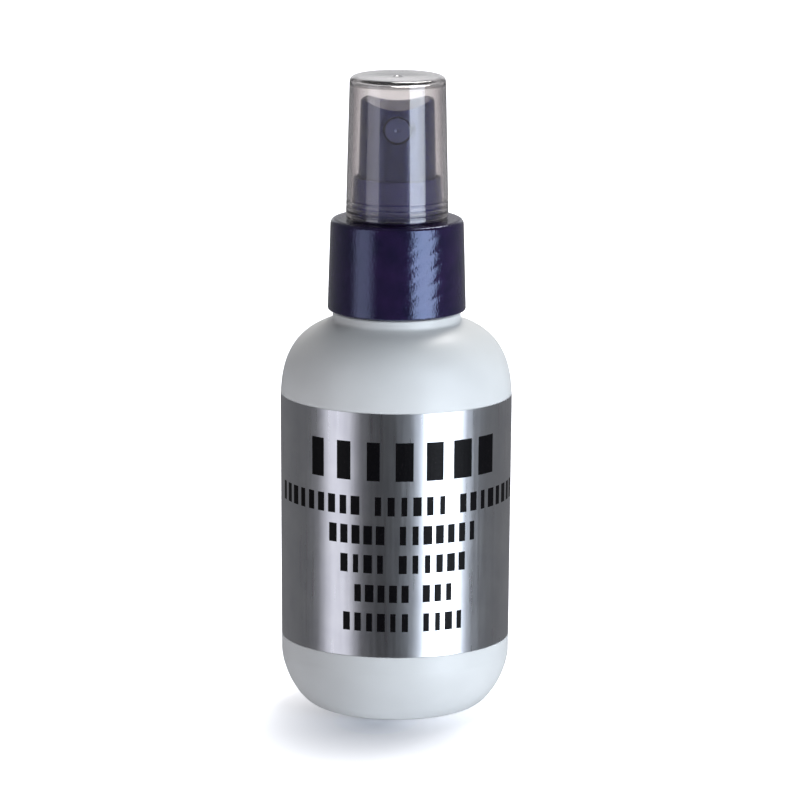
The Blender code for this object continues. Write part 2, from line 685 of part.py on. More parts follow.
# ---------------------------------------------------------------- actuator and nozzle
def make_actuator(material):
    top_radius = ACTUATOR_RADIUS - ACTUATOR_TAPER
    rim = top_radius - ACTUATOR_EDGE
    inside_top = ACTUATOR_TOP - FINGER_GROOVE - ACTUATOR_ROOF
    socket = STEM_RADIUS + TURN_GAP
    outline = [(0.0, ACTUATOR_TOP)]
    outline += list(
        reversed(quarter((rim, ACTUATOR_TOP - ACTUATOR_EDGE), ACTUATOR_EDGE, ACTUATOR_EDGE, 3))
    )
    outline += [
        (ACTUATOR_RADIUS, TOWER_TOP),
        (ACTUATOR_RADIUS, ACTUATOR_BOTTOM),
        (ACTUATOR_RADIUS - ACTUATOR_WALL, ACTUATOR_BOTTOM),
        (top_radius - ACTUATOR_WALL, inside_top),
        (CORE_RADIUS, inside_top),
        (CORE_RADIUS, ACTUATOR_BOTTOM),
        (socket, ACTUATOR_BOTTOM),
        (socket, STEM_TOP + GAP),
        (0.0, STEM_TOP + GAP),
    ]
    actuator = turned("actuator", outline, COVER_SIDES, material, ACTUATOR_BOTTOM)
    half_chord = top_radius - GROOVE_RIM
    groove_radius = (half_chord**2 + FINGER_GROOVE**2) / (2 * FINGER_GROOVE)
    groove_z = ACTUATOR_TOP - FINGER_GROOVE + groove_radius
    groove = rod(
        "finger_groove", groove_radius, (0, -2 * top_radius, groove_z), (0, 2 * top_radius, groove_z), 64
    )
    cut_or_join(actuator, groove, "DIFFERENCE")
    front = -wall_front()
    boss = rod(
        "nozzle_boss",
        NOZZLE_RADIUS + GAP + BOSS_WALL,
        (0, -STEM_RADIUS, NOZZLE_Z),
        (0, front + ACTUATOR_WALL / 2, NOZZLE_Z),
        16,
    )
    cut_or_join(actuator, boss, "UNION")
    pocket_depth = NOZZLE_SUNK + NOZZLE_LENGTH + GAP
    post_radius = NOZZLE_RADIUS - NOZZLE_WALL - GAP
    pocket_end = front + pocket_depth
    pocket = rod(
        "nozzle_pocket",
        NOZZLE_RADIUS + GAP,
        (0, front - ACTUATOR_WALL, NOZZLE_Z),
        (0, pocket_end, NOZZLE_Z),
        16,
    )
    cut_or_join(actuator, pocket, "DIFFERENCE")
    post_front = front + NOZZLE_SUNK + NOZZLE_FACE + GAP
    post = rod("nozzle_post", post_radius, (0, post_front, NOZZLE_Z), (0, pocket_end + GAP, NOZZLE_Z), 12)
    cut_or_join(actuator, post, "UNION")
    channel_y = -(post_radius + NOZZLE_RADIUS + GAP) / 2
    feed = rod(
        "feed_channel",
        FEED_RADIUS,
        (0, pocket_end - GAP, NOZZLE_Z + channel_y),
        (0, -FEED_RADIUS, NOZZLE_Z + channel_y),
        8,
    )
    cut_or_join(actuator, feed, "DIFFERENCE")
    riser = rod("feed_riser", FEED_RADIUS, (0, 0, STEM_TOP), (0, 0, NOZZLE_Z + channel_y + FEED_RADIUS), 8)
    cut_or_join(actuator, riser, "DIFFERENCE")
    return actuator


def wall_front():
    """The actuator's outside radius at the nozzle's height."""
    share = (NOZZLE_Z - TOWER_TOP) / (ACTUATOR_RISE - ACTUATOR_EDGE)
    return ACTUATOR_RADIUS - ACTUATOR_TAPER * share


def make_nozzle(material):
    """The orifice cup that pushes over the post in the actuator's front."""
    inner = NOZZLE_RADIUS - NOZZLE_WALL
    outline = [
        (ORIFICE_RADIUS, 0.0),
        (NOZZLE_RADIUS, 0.0),
        (NOZZLE_RADIUS, NOZZLE_LENGTH),
        (inner, NOZZLE_LENGTH),
        (inner, NOZZLE_FACE),
        (ORIFICE_RADIUS, NOZZLE_FACE),
    ]
    mesh = spun(outline, 16)
    front = -wall_front() + NOZZLE_SUNK
    turn = Vector((0, 1, 0)).to_track_quat("Z", "Y").to_matrix().to_4x4()
    bmesh.ops.transform(
        mesh, matrix=Matrix.Translation((0, front, NOZZLE_Z)) @ turn, verts=mesh.verts
    )
    return placed("nozzle_insert", mesh, material, NOZZLE_Z)


# ---------------------------------------------------------------- assembly
def main():
    for item in list(bpy.data.objects):
        bpy.data.objects.remove(item, do_unlink=True)

    white = plastic("bottle_polyethylene", (0.78, 0.81, 0.84), 0.4)
    foil = plastic("metallised_film", (0.62, 0.62, 0.66), 0.3, metallic=1.0)
    navy = plastic("navy_polypropylene", (0.022, 0.018, 0.05), 0.22)
    clear = plastic("smoky_clear_styrene", (0.62, 0.58, 0.62), 0.1, alpha=0.35)
    natural = plastic("natural_polypropylene", (0.75, 0.76, 0.74), 0.45)
    rubber = plastic("gasket_foam", (0.85, 0.85, 0.83), 0.8)
    steel = plastic("stainless_wire", (0.6, 0.6, 0.58), 0.3, metallic=1.0)

    make_bottle(white)
    make_label(foil)

    pump = axis_empty("pump_axis", MOUTH)
    hang(pump, make_gasket(rubber), make_housing(natural), make_housing_cap(natural))
    hang(pump, make_dip_tube(natural), make_spring(steel))

    collar = axis_empty("collar_axis", COLLAR_BOTTOM)
    hang(collar, make_collar(navy))

    cover = axis_empty("cover_axis", COVER_BOTTOM)
    hang(cover, make_cover(clear))

    stem = axis_empty("stem_axis", STEM_BOTTOM)
    hang(stem, make_upper_stem(natural), make_lower_stem(natural))

    piston = axis_empty("piston_axis", PISTON_BOTTOM)
    hang(piston, make_piston(natural))

    head = axis_empty("actuator_axis", ACTUATOR_BOTTOM)
    hang(head, make_actuator(navy), make_nozzle(navy))

    make_ball(steel)


main()
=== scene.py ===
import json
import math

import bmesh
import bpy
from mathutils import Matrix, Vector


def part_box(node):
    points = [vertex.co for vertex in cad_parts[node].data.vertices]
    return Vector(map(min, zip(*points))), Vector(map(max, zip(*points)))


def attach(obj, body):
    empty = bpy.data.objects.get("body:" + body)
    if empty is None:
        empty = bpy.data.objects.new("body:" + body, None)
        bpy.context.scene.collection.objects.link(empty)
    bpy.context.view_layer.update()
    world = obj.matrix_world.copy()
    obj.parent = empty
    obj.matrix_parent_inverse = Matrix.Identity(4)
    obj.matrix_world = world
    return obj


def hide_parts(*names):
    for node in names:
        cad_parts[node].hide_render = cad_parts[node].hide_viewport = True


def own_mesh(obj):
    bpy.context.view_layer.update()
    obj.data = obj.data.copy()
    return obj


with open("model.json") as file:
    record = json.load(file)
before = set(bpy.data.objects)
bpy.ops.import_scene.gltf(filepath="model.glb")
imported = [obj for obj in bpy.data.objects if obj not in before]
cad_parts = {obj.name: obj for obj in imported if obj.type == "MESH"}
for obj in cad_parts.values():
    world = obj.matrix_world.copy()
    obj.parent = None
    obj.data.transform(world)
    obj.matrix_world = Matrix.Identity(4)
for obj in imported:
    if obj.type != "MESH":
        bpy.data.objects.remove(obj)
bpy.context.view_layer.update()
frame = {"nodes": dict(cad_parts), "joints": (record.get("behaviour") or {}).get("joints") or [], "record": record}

# %% [markdown]
# # A lens cleaning spray, finished piece by piece
# The object is a small round bottle with a fine-mist finger pump: a white polyethylene bottle, a
# silver film label, a navy screw collar, and a navy actuator under a smoky clear cover. The packed
# model above gives every piece its size and place. Here each faceted solid is replaced by a smooth
# one that is made the way its mould would make it, and then given its own plastic, film or steel.
# Lengths of the object are written in millimetres and become metres when a mesh is made. The camera,
# the lights and the table are in metres.

MM = 0.001


def measured(node):
    """Radius, lowest and highest height of a round piece on the bottle's axis, in millimetres."""
    low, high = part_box(node)
    return max(high.x, -low.x) / MM, low.z / MM, high.z / MM


for node_name in sorted(frame["nodes"]):
    print("%-14s radius %6.3f  z %7.3f to %7.3f mm" % (node_name, *measured(node_name)))

# %% [markdown]
# ## One way to add a node
# Materials, the world and the Geometry Nodes below are all trees of nodes. One small function adds a
# node and either links or sets each of its inputs, so that every tree reads as a list of what it does.
# A Value is a number inside a tree: a sum written with it becomes Math nodes. Colours are written as
# sRGB hex values, as a colour picker shows them, and turned into the linear light that shaders use.


# %% The node and colour helpers
def fill(tree, node, inputs):
    """Links each input that is given a socket or a Value, and sets the value of any other."""
    for key, value in inputs.items():
        if isinstance(value, Value):
            value = value.socket
        if isinstance(value, bpy.types.NodeSocket):
            tree.links.new(value, node.inputs[key])
        else:
            node.inputs[key].default_value = value


def add(tree, kind, inputs=None, **settings):
    """Adds a node with its inputs and its properties."""
    node = tree.nodes.new(kind)
    for setting, value in settings.items():
        setattr(node, setting, value)
    fill(tree, node, inputs or {})
    return node


class Value:
    """A number inside a tree. Each sign in a sum that is written with it adds one Math node."""

    def __init__(self, tree, socket):
        self.tree = tree
        self.socket = socket

    def math(self, operation, other=0.0):
        node = add(self.tree, "ShaderNodeMath", {0: self, 1: other}, operation=operation)
        return Value(self.tree, node.outputs[0])

    def __add__(self, other):
        return self.math("ADD", other)

    def __sub__(self, other):
        return self.math("SUBTRACT", other)

    def __mul__(self, other):
        return self.math("MULTIPLY", other)

    def __truediv__(self, other):
        return self.math("DIVIDE", other)


def axes(tree, vector):
    """The x, y and z of a vector."""
    return [Value(tree, out) for out in add(tree, "ShaderNodeSeparateXYZ", {0: vector}).outputs]


def between(tree, value, low, high, start=0.3, end=0.7, smooth=False):
    """Spreads a value over low to high. Start and end suit the middle of a noise unless they are given."""
    inputs = {"Value": value, 1: start, 2: end, 3: low, 4: high}
    kind = "SMOOTHSTEP" if smooth else "LINEAR"
    return Value(tree, add(tree, "ShaderNodeMapRange", inputs, interpolation_type=kind).outputs[0])


def linear(hex_colour):
    """An sRGB hex colour such as #1E1838 as linear red, green, blue and an alpha of 1."""
    shares = [int(hex_colour[place : place + 2], 16) / 255 for place in (1, 3, 5)]
    lit = [share / 12.92 if share <= 0.04045 else ((share + 0.055) / 1.055) ** 2.4 for share in shares]
    return (*lit, 1.0)


# %% [markdown]
# ## Camera
# A long lens far away keeps the sides of a round bottle almost parallel. The camera stands 1.2 m from
# the middle of the bottle and 11 degrees above it, so that the top of the cover and the front of the
# foot both show as thin ellipses.

# %% The camera
CAMERA_DISTANCE = 1.2
CAMERA_RISE = math.radians(11.3)
CAMERA_ROLL = math.radians(0.3)
CAMERA_AIM = Vector((0.0008, 0.0, 0.0655))
PICTURE_WIDTH = 0.1696

camera_data = bpy.data.cameras.new("camera")
camera_data.sensor_width = 36.0
camera_data.lens = camera_data.sensor_width * CAMERA_DISTANCE / PICTURE_WIDTH
camera_data.clip_start = 0.05
camera = bpy.data.objects.new("camera", camera_data)
bpy.context.scene.collection.objects.link(camera)
outward = Vector((0.0, -math.cos(CAMERA_RISE), math.sin(CAMERA_RISE)))
camera.location = CAMERA_AIM + outward * CAMERA_DISTANCE
facing = (-outward).to_track_quat("-Z", "Y").to_matrix()
camera.rotation_euler = (facing @ Matrix.Rotation(CAMERA_ROLL, 3, "Z")).to_euler()
bpy.context.scene.camera = camera
bpy.context.scene.view_settings.view_transform = "Standard"
print("lens %.1f mm" % camera_data.lens)

# %% [markdown]
# ## Studio
# A silver label has no colour of its own: it shows the room. Two tall softboxes stand in front, a
# strong one to the right and a weaker, narrower one to the left, with the dark room between them. They
# reach below the table's edge, so that their reflections run the whole height of the bottle. A third
# box, small and strong, hangs behind and above, and lays the soft shadow in front of the foot. The air
# is white to a straight look and dim to a reflection. So is the table, which is a plain pale board near
# the foot and glows more with distance. This is a painted glow, and it leaves a painted dark spot round
# the foot, so that only the shadow round the foot shows on it.


# %% The softboxes
def softbox(name, azimuth, rise, distance, width, height, radiance, colour):
    """A rectangular light that faces the bottle. Its watts follow from how bright its face is."""
    light = bpy.data.lights.new(name, "AREA")
    light.shape = "RECTANGLE"
    light.size = width
    light.size_y = height
    light.energy = radiance * math.pi * width * height
    light.color = linear(colour)[:3]
    box = bpy.data.objects.new(name, light)
    bpy.context.scene.collection.objects.link(box)
    turn, up = math.radians(azimuth), math.radians(rise)
    away = Vector((math.sin(turn) * math.cos(up), -math.cos(turn) * math.cos(up), math.sin(up)))
    box.location = Vector((0.0, 0.0, 0.07)) + away * distance
    box.rotation_euler = (-away).to_track_quat("-Z", "Y").to_euler()
    box.visible_camera = False
    return box


SOFTBOXES = (
    # name, azimuth and rise in degrees, distance, width and height in metres, radiance, colour
    ("softbox_right", 48, 4, 0.8, 0.55, 1.15, 4.0, "#E9F3FF"),
    ("softbox_left", -59, 4, 0.8, 0.46, 1.15, 1.0, "#F6F6FF"),
    ("softbox_above", 160, 58, 1.1, 0.5, 0.5, 11.0, "#FFFDFB"),
)
for row in SOFTBOXES:
    softbox(*row)


# %% What a straight look sees
def straight_view(tree):
    """1 for a look that came straight or only through clear plastic, 0 for light and reflections."""
    path = add(tree, "ShaderNodeLightPath").outputs
    through = Value(tree, path["Glossy Depth"]).math("LESS_THAN", 0.5) * path["Is Transmission Ray"]
    return through.math("MAXIMUM", path["Is Camera Ray"])


# %% The air round the table
SEEN_AIR = 1.0
FRONT_ROOM = 0.035
BACK_ROOM = 0.16
BACKDROP = 0.6
BACKDROP_AT = Vector((0.0, 0.95, 0.31))
BEHIND_COVER = 0.2
air = bpy.data.worlds.new("pale_air")
air.use_nodes = True
tree = air.node_tree
tree.nodes.clear()
direction = add(tree, "ShaderNodeTexCoord").outputs["Generated"]
backward = axes(tree, direction)[1]
toward = {0: direction, 1: BACKDROP_AT.normalized()}
toward = add(tree, "ShaderNodeVectorMath", toward, operation="DOT_PRODUCT").outputs["Value"]
passing = add(tree, "ShaderNodeLightPath").outputs["Is Transmission Ray"]
room = between(tree, backward, FRONT_ROOM, BACK_ROOM, -0.6, 0.8)
room = room + between(tree, toward, 0.0, BACKDROP, 0.88, 0.97)
room = room + between(tree, backward, 0.0, BEHIND_COVER, 0.0, 0.5) * passing
strength = add(tree, "ShaderNodeMix", {0: straight_view(tree), 2: room, 3: SEEN_AIR}, data_type="FLOAT")
background = add(tree, "ShaderNodeBackground", {"Color": linear("#FBFCFF"), "Strength": strength.outputs[0]})
add(tree, "ShaderNodeOutputWorld", {"Surface": background.outputs[0]})
bpy.context.scene.world = air

# %% The table top
TABLE_HALF = 3.0
# painted shade: the dark spot is where the board's painted glow fades, placed where the shadow falls
GLOW_SHIFT = (0.004, 0.018, 0.0)  # the dark spot lies this far left of the axis and in front of it
GLOW_STRETCH = (1.35, 1.0, 1.0)
GLOW_NEAR, GLOW_FAR, GLOW = 0.003, 0.05, 1.05
UNSEEN_GLOW = 0.18
table_mesh = bpy.data.meshes.new("table_top")
corners = [(x * TABLE_HALF, y * TABLE_HALF, 0.0) for x, y in ((-1, -1), (1, -1), (1, 1), (-1, 1))]
table_mesh.from_pydata(corners, [], [(0, 1, 2, 3)])
table_top = bpy.data.objects.new("table_top", table_mesh)
bpy.context.scene.collection.objects.link(table_top)
table_top.visible_glossy = False
table_top.visible_shadow = False
glowing_board = bpy.data.materials.new("pale_board_with_painted_glow")
glowing_board.use_nodes = True
tree = glowing_board.node_tree
place = add(tree, "ShaderNodeTexCoord").outputs["Object"]
shifted = add(tree, "ShaderNodeVectorMath", {0: place, 1: GLOW_SHIFT}, operation="ADD").outputs[0]
drawn_out = add(tree, "ShaderNodeVectorMath", {0: shifted, 1: GLOW_STRETCH}, operation="MULTIPLY").outputs[0]
away = add(tree, "ShaderNodeVectorMath", {0: drawn_out}, operation="LENGTH").outputs["Value"]
# painted glow: the board's emission grows with distance from a point in front of the foot and leaves a painted
# dark spot there
glow_by_distance = between(tree, away, 0.0, GLOW, GLOW_NEAR, GLOW_FAR)
glow = add(tree, "ShaderNodeMix", {0: straight_view(tree), 2: UNSEEN_GLOW, 3: glow_by_distance}, data_type="FLOAT")
look = {"Base Color": linear("#E2E4EA"), "Roughness": 0.5, "Emission Color": linear("#FDFDFF")}
fill(tree, tree.nodes["Principled BSDF"], look | {"Emission Strength": glow.outputs[0]})
table_mesh.materials.append(glowing_board)

# %% [markdown]
# ## Shared shading helpers
# Moulded and blown plastics differ from a flat colour in three small ways: the colour drifts a little
# with wall thickness, the gloss varies from patch to patch, and the skin has a fine grain or an
# orange peel. Each material below is built from those three, at its own real scale. A noise pattern's
# scale is one over the size of its features, so `grain` takes that size in millimetres.


# %% Pattern helpers
def principled(name):
    """A new material and its tree, with the Principled shader to set."""
    material = bpy.data.materials.new(name)
    material.use_nodes = True
    return material, material.node_tree, material.node_tree.nodes["Principled BSDF"]


def grain(tree, size, detail=2.0, stretch=(1.0, 1.0, 1.0)):
    """Noise whose features are about this many millimetres wide, as a value from 0 to 1."""
    place = add(tree, "ShaderNodeTexCoord").outputs["Object"]
    squeezed = add(tree, "ShaderNodeMapping", {"Vector": place, "Scale": stretch}).outputs[0]
    inputs = {"Vector": squeezed, "Scale": 1 / (size * MM), "Detail": detail}
    return add(tree, "ShaderNodeTexNoise", inputs).outputs["Fac"]


def blend_colours(tree, value, first, second):
    """Mixes two colours, each a hex value or a socket, by a value from 0 to 1."""
    first, second = (linear(colour) if isinstance(colour, str) else colour for colour in (first, second))
    return add(tree, "ShaderNodeMix", {0: value, 6: first, 7: second}, data_type="RGBA").outputs[2]


def patchy(tree, size, first, second, start=0.3, end=0.7, detail=2.0):
    """A colour that drifts between two hex values in patches of so many millimetres."""
    return blend_colours(tree, between(tree, grain(tree, size, detail), 0.0, 1.0, start, end), first, second)


def raised(tree, height, depth, strength=1.0, under=None):
    """Turns a height from 0 to 1 into bumps that are so many millimetres deep."""
    inputs = {"Height": height, "Distance": depth * MM, "Strength": strength}
    if under is not None:
        inputs["Normal"] = under
    return add(tree, "ShaderNodeBump", inputs).outputs[0]


# %% [markdown]
# ## White polyethylene, extrusion blown
# The bottle is high-density polyethylene, blown against a sand-blasted mould. That gives a soft
# satin skin, a very slight unevenness of the wall over a few millimetres, and a little light that
# wanders inside the plastic before it comes out again. A parting line runs up each side.

# %% Bottle plastic
PARTING_LINE = 0.25  # its half width
polyethylene, tree, shader = principled("blown_white_polyethylene")
swell = raised(tree, grain(tree, 7.0, 1.0), 0.05)
blasted = raised(tree, grain(tree, 0.45), 0.006, under=swell)
off_line = axes(tree, add(tree, "ShaderNodeTexCoord").outputs["Object"])[1].math("ABSOLUTE")
line = between(tree, off_line, 1.0, 0.0, 0.0, PARTING_LINE * MM)
fill(tree, shader, {
    "Base Color": patchy(tree, 14.0, "#E2E3E1", "#DBDCDA"),
    "Roughness": between(tree, grain(tree, 5.0), 0.33, 0.41),
    "IOR": 1.54,
    "Subsurface Weight": 0.25,
    "Subsurface Radius": (1.0, 1.0, 1.0),
    "Subsurface Scale": 1.5 * MM,
    "Normal": raised(tree, line, 0.05, under=blasted),
})

# %% [markdown]
# ## Metallised film
# The label is a polyester film with a skin of aluminium a few hundredths of a micrometre thick and a
# clear lacquer over it. Its metal is bright but not a true mirror: the film is a little matt and was
# drawn lengthwise, which leaves faint streaks up and down and makes the reflections soft at their
# edges. A metal keeps the default IOR, and its colour is its reflectance.

# %% Label film
film, tree, shader = principled("metallised_polyester_film")
streaks = grain(tree, 0.8, 3.0, (1.0, 1.0, 0.04))
drawn = raised(tree, streaks, 0.003)
fill(tree, shader, {
    "Base Color": patchy(tree, 6.0, "#EDEEF2", "#E2E3E9"),
    "Roughness": between(tree, streaks, 0.27, 0.33),
    "Metallic": 1.0,
    "Coat Weight": 0.15,
    "Coat Roughness": 0.22,
    "Normal": raised(tree, grain(tree, 2.5, 1.0), 0.006, under=drawn),
})

# %% [markdown]
# ## Printing ink
# The print on the film is a thick black screen ink. It is much darker and a little rougher than the
# film round it. Dark-brown specks in its black are a painted reflection of the bright softbox on the ink.

# %% Ink
ink, tree, shader = principled("black_screen_ink")
fill(tree, shader, {
    # painted reflection: the dark-brown specks stand for the softbox's sheen on the black ink
    "Base Color": patchy(tree, 0.3, "#08070A", "#241E20", 0.62, 0.75, 3.0),
    "Roughness": between(tree, grain(tree, 0.5), 0.36, 0.5),
    "Specular IOR Level": 0.12,
    "Normal": raised(tree, grain(tree, 0.2), 0.004),
})

# %% [markdown]
# ## Navy polypropylene
# Collar, actuator and nozzle are polypropylene, coloured navy with a trace of violet pearl pigment and
# moulded in polished steel. The gloss is high, but the cooled skin is finely pebbled: inside a bright
# reflection the grains show as separate glints. The grains are drawn 0.4 mm wide, coarser than the
# real ones, so that they still show. Faces that look straight up lose nearly all their reflection: a
# painted shade that keeps the tops dark. On the tower, above a given height, the colour is paler: a
# painted glow that stands for light passing its thin wall. The nozzle is a paler, duller blue.


# %% Collar and actuator plastic
PEBBLE = 0.4
# painted glow: a paler navy that stands for light passing the tower's thin wall
TOWER_GLOW_COLOUR = "#3B3672"
# painted shade: between these two heights of the normal, a face that looks up loses nearly all its reflection
DARK_TOP_FROM, DARK_TOP_TO = 0.75, 0.95  # how far up a face looks before it is matt


def navy_polypropylene(name, dark, light, gloss, pebble_depth, tower_glow_above=None):
    """The navy plastic, with its roughness, how deep its pebbled skin is, and the height above which it takes a
    painted glow for its thin wall.
    """
    material, tree, shader = principled(name)
    colour = patchy(tree, 4.0, dark, light)
    # painted glow: above this height the colour is blended towards the paler tower colour
    if tower_glow_above:
        height = axes(tree, add(tree, "ShaderNodeTexCoord").outputs["Object"])[2]
        tower_glow = between(tree, height, 0.0, 1.0, tower_glow_above * MM, (tower_glow_above + 1.5) * MM)
        colour = blend_colours(tree, tower_glow, colour, TOWER_GLOW_COLOUR)
    upward = axes(tree, add(tree, "ShaderNodeNewGeometry").outputs["Normal"])[2]
    skin = raised(tree, grain(tree, PEBBLE, 1.5), pebble_depth)
    skin = raised(tree, grain(tree, 3.0, 1.0), 0.006, under=skin)
    fill(tree, shader, {
        "Base Color": colour,
        "Roughness": between(tree, grain(tree, 1.2), gloss - 0.03, gloss + 0.05),
        "IOR": 1.49,
        "Specular Tint": linear("#9FBCFF"),
        # painted shade: the reflection and the coat fade away on faces that look up
        "Specular IOR Level": between(tree, upward, 1.0, 0.08, DARK_TOP_FROM, DARK_TOP_TO),
        "Coat Weight": between(tree, upward, 0.8, 0.04, DARK_TOP_FROM, DARK_TOP_TO),
        "Coat Roughness": 0.11,
        "Normal": skin,
        "Coat Normal": skin,
    })
    return material


collar_plastic = navy_polypropylene("navy_polypropylene_collar", "#1B1530", "#281A3C", 0.13, 0.06, 105.0)
actuator_plastic = navy_polypropylene("navy_polypropylene_actuator", "#242152", "#2C295E", 0.18, 0.02)
nozzle_plastic = navy_polypropylene("navy_polypropylene_nozzle", "#50527C", "#595B85", 0.42, 0.02)

# %% [markdown]
# ## Smoky clear cover
# The cover is clarified polypropylene with a breath of grey-brown dye. Clear polypropylene is never as
# bright as glass: tiny crystals in the wall scatter a little light, so that a dark thing behind it
# looks slightly milky. Here nearly all the light goes through, tinted, and about a fiftieth is
# scattered. A look along the wall passes more of it: there the dye shows and more is scattered.

# %% Cover plastic
smoky, tree, shader = principled("smoky_clear_polypropylene")
edge_on = add(tree, "ShaderNodeLayerWeight", {"Blend": 0.5}).outputs["Facing"]
thick = between(tree, edge_on, 0.0, 1.0, 0.2, 0.65)
fill(tree, shader, {
    "Base Color": blend_colours(tree, thick, patchy(tree, 6.0, "#E7E3E1", "#E2DEDD"), "#A49E9F"),
    "Roughness": between(tree, grain(tree, 2.0), 0.06, 0.10),
    "IOR": 1.49,
    "Transmission Weight": between(tree, edge_on, 0.98, 0.88, 0.3, 0.8),
    "Coat Weight": 0.7,
    "Coat Roughness": 0.06,
    "Normal": raised(tree, grain(tree, 3.0, 1.0), 0.006),
})

# %% [markdown]
# ## Inside the pump
# The pump's own pieces never show from outside while it is screwed down, but they are real plastics
# too: undyed polypropylene and polyethylene, milky and slightly waxy, a closed-cell foam gasket, and
# stainless steel for the spring and the ball.

# %% Undyed plastic, foam and steel
natural, tree, shader = principled("natural_polypropylene_moulded")
fill(tree, shader, {
    "Base Color": patchy(tree, 3.0, "#E4E6E2", "#D6D9D5"),
    "Roughness": between(tree, grain(tree, 1.0), 0.3, 0.42),
    "Subsurface Weight": 0.3,
    "Subsurface Scale": 1.0 * MM,
    "Normal": raised(tree, grain(tree, 0.5), 0.004),
})

foam, tree, shader = principled("closed_cell_polyethylene_foam")
cells = grain(tree, 0.25, 3.0)
fill(tree, shader, {
    "Base Color": blend_colours(tree, between(tree, cells, 0.0, 1.0), "#EEEDE9", "#D9D8D2"),
    "Roughness": between(tree, cells, 0.75, 0.9),
    "Normal": raised(tree, cells, 0.04),
})

steel, tree, shader = principled("drawn_stainless_steel")
scratches = grain(tree, 0.15, 3.0, (1.0, 1.0, 0.1))
fill(tree, shader, {
    "Base Color": blend_colours(tree, scratches, "#BFBDB8", "#D2D0CC"),
    "Roughness": between(tree, scratches, 0.2, 0.34),
    "Metallic": 1.0,
    "Normal": raised(tree, scratches, 0.002),
})

# %% [markdown]
# ## Turned shapes with soft corners
# Nearly every piece here is round, so one outline spun about the axis makes it. What tells a moulded
# piece from a stand-in is its corners: no mould leaves a sharp one. An outline is therefore a list of
# corners, each with its own fillet, and a helper replaces each corner by a short curve. Curved
# stretches, such as the bottle's heel and shoulder, are superellipses: squarer or rounder than a
# circle by one number, their power.


# %% Outline helpers
def rounded(corners, steps=5):
    """Points of an open outline. A corner is (radius, height) or (radius, height, fillet)."""
    points = []
    for number, corner in enumerate(corners):
        here = Vector(corner[:2])
        fillet = corner[2] if len(corner) > 2 else 0.0
        if not fillet or number in (0, len(corners) - 1):
            points.append(tuple(here))
            continue
        back = Vector(corners[number - 1][:2]) - here
        ahead = Vector(corners[number + 1][:2]) - here
        reach = min(fillet, 0.48 * back.length, 0.48 * ahead.length)
        start = here + back.normalized() * reach
        end = here + ahead.normalized() * reach
        for step in range(steps + 1):
            share = step / steps
            point = start * (1 - share) ** 2 + here * 2 * share * (1 - share) + end * share**2
            points.append(tuple(point))
    return points


def superellipse(centre, half_width, height, power, start, end, steps):
    """Points on a superellipse, from start to end degrees above the level of its centre."""
    points = []
    for step in range(steps + 1):
        angle = math.radians(start + (end - start) * step / steps)
        across = max(math.cos(angle), 0.0) ** (2 / power)
        up = max(math.sin(angle), 0.0) ** (2 / power)
        points.append((centre[0] + half_width * across, centre[1] + height * up))
    return points


def divided(points, longest):
    """The same outline with its long stretches cut into shorter ones."""
    cut = [points[0]]
    for before, after in zip(points, points[1:]):
        pieces = max(1, math.ceil(math.dist(before, after) / longest))
        for piece in range(1, pieces + 1):
            share = piece / pieces
            cut.append(tuple(a + (b - a) * share for a, b in zip(before, after)))
    return cut


# %% The lathe
SIDES = 72  # of the small round pieces


def as_object(name, mesh, material=None):
    """An object at the origin from a bmesh in millimetres, smooth but for its true edges."""
    bmesh.ops.scale(mesh, vec=(MM, MM, MM), verts=mesh.verts)
    data = bpy.data.meshes.new(name)
    mesh.to_mesh(data)
    mesh.free()
    item = bpy.data.objects.new(name, data)
    bpy.context.scene.collection.objects.link(item)
    if material:
        data.materials.append(material)
    smooth(data)
    return item


def smooth(data, sharpest=38.0):
    data.shade_smooth()
    data.set_sharp_from_angle(angle=math.radians(sharpest))


def lathe(outline, sides):
    """Spins an outline in millimetres about +Z. An outline that doesn't start on the axis is a ring."""
    mesh = bmesh.new()
    verts = [mesh.verts.new((radius, 0.0, height)) for radius, height in outline]
    pairs = list(zip(verts, verts[1:]))
    if outline[0][0] > 0:
        pairs.append((verts[-1], verts[0]))
    edges = [mesh.edges.new(pair) for pair in pairs]
    bmesh.ops.spin(
        mesh, geom=verts + edges, cent=(0, 0, 0), axis=(0, 0, 1), angle=2 * math.pi, steps=sides,
        use_merge=True, use_duplicate=False,
    )
    bmesh.ops.remove_doubles(mesh, verts=mesh.verts, dist=0.0005)
    bmesh.ops.recalc_face_normals(mesh, faces=mesh.faces)
    return mesh


def turned(name, material, outline, sides):
    return as_object(name, lathe(outline, sides), material)


def moulded(name, material, corners, sides=SIDES, steps=5):
    """A turned piece whose outline is given by its corners, each with its own fillet."""
    return turned(name, material, rounded(corners, steps), sides)


def baked(item, name=None):
    """The object's mesh as its modifiers leave it, as a new plain object. The old one is removed."""
    final_name = name or item.name
    graph = bpy.context.evaluated_depsgraph_get()
    data = bpy.data.meshes.new_from_object(item.evaluated_get(graph))
    bpy.data.objects.remove(item)
    data.name = final_name
    plain = bpy.data.objects.new(final_name, data)
    bpy.context.scene.collection.objects.link(plain)
    return plain


def combine(item, tool, operation):
    """Adds, cuts or keeps by another closed shape, which is then removed."""
    modifier = item.modifiers.new(operation.lower(), "BOOLEAN")
    modifier.operation = operation
    modifier.solver = "EXACT"
    modifier.object = tool
    joined = baked(item)
    bpy.data.objects.remove(tool)
    return joined


def even_shading(item):
    """Lets each vertex take its normal from its largest faces, so that flats stay flat up to a fillet."""
    smooth(item.data)
    modifier = item.modifiers.new("even_shading", "WEIGHTED_NORMAL")
    modifier.keep_sharp = True
    modifier.weight = 80
    return item


# %% [markdown]
# ## Trees that grow repeated shapes
# A Geometry Nodes tree is a small machine with named inputs. The helpers below make one with its
# inputs, set them on an object by each socket's identifier, and turn what it grows into a plain mesh.


# %% Geometry Nodes helpers
SOCKETS = {float: "NodeSocketFloat", int: "NodeSocketInt"}


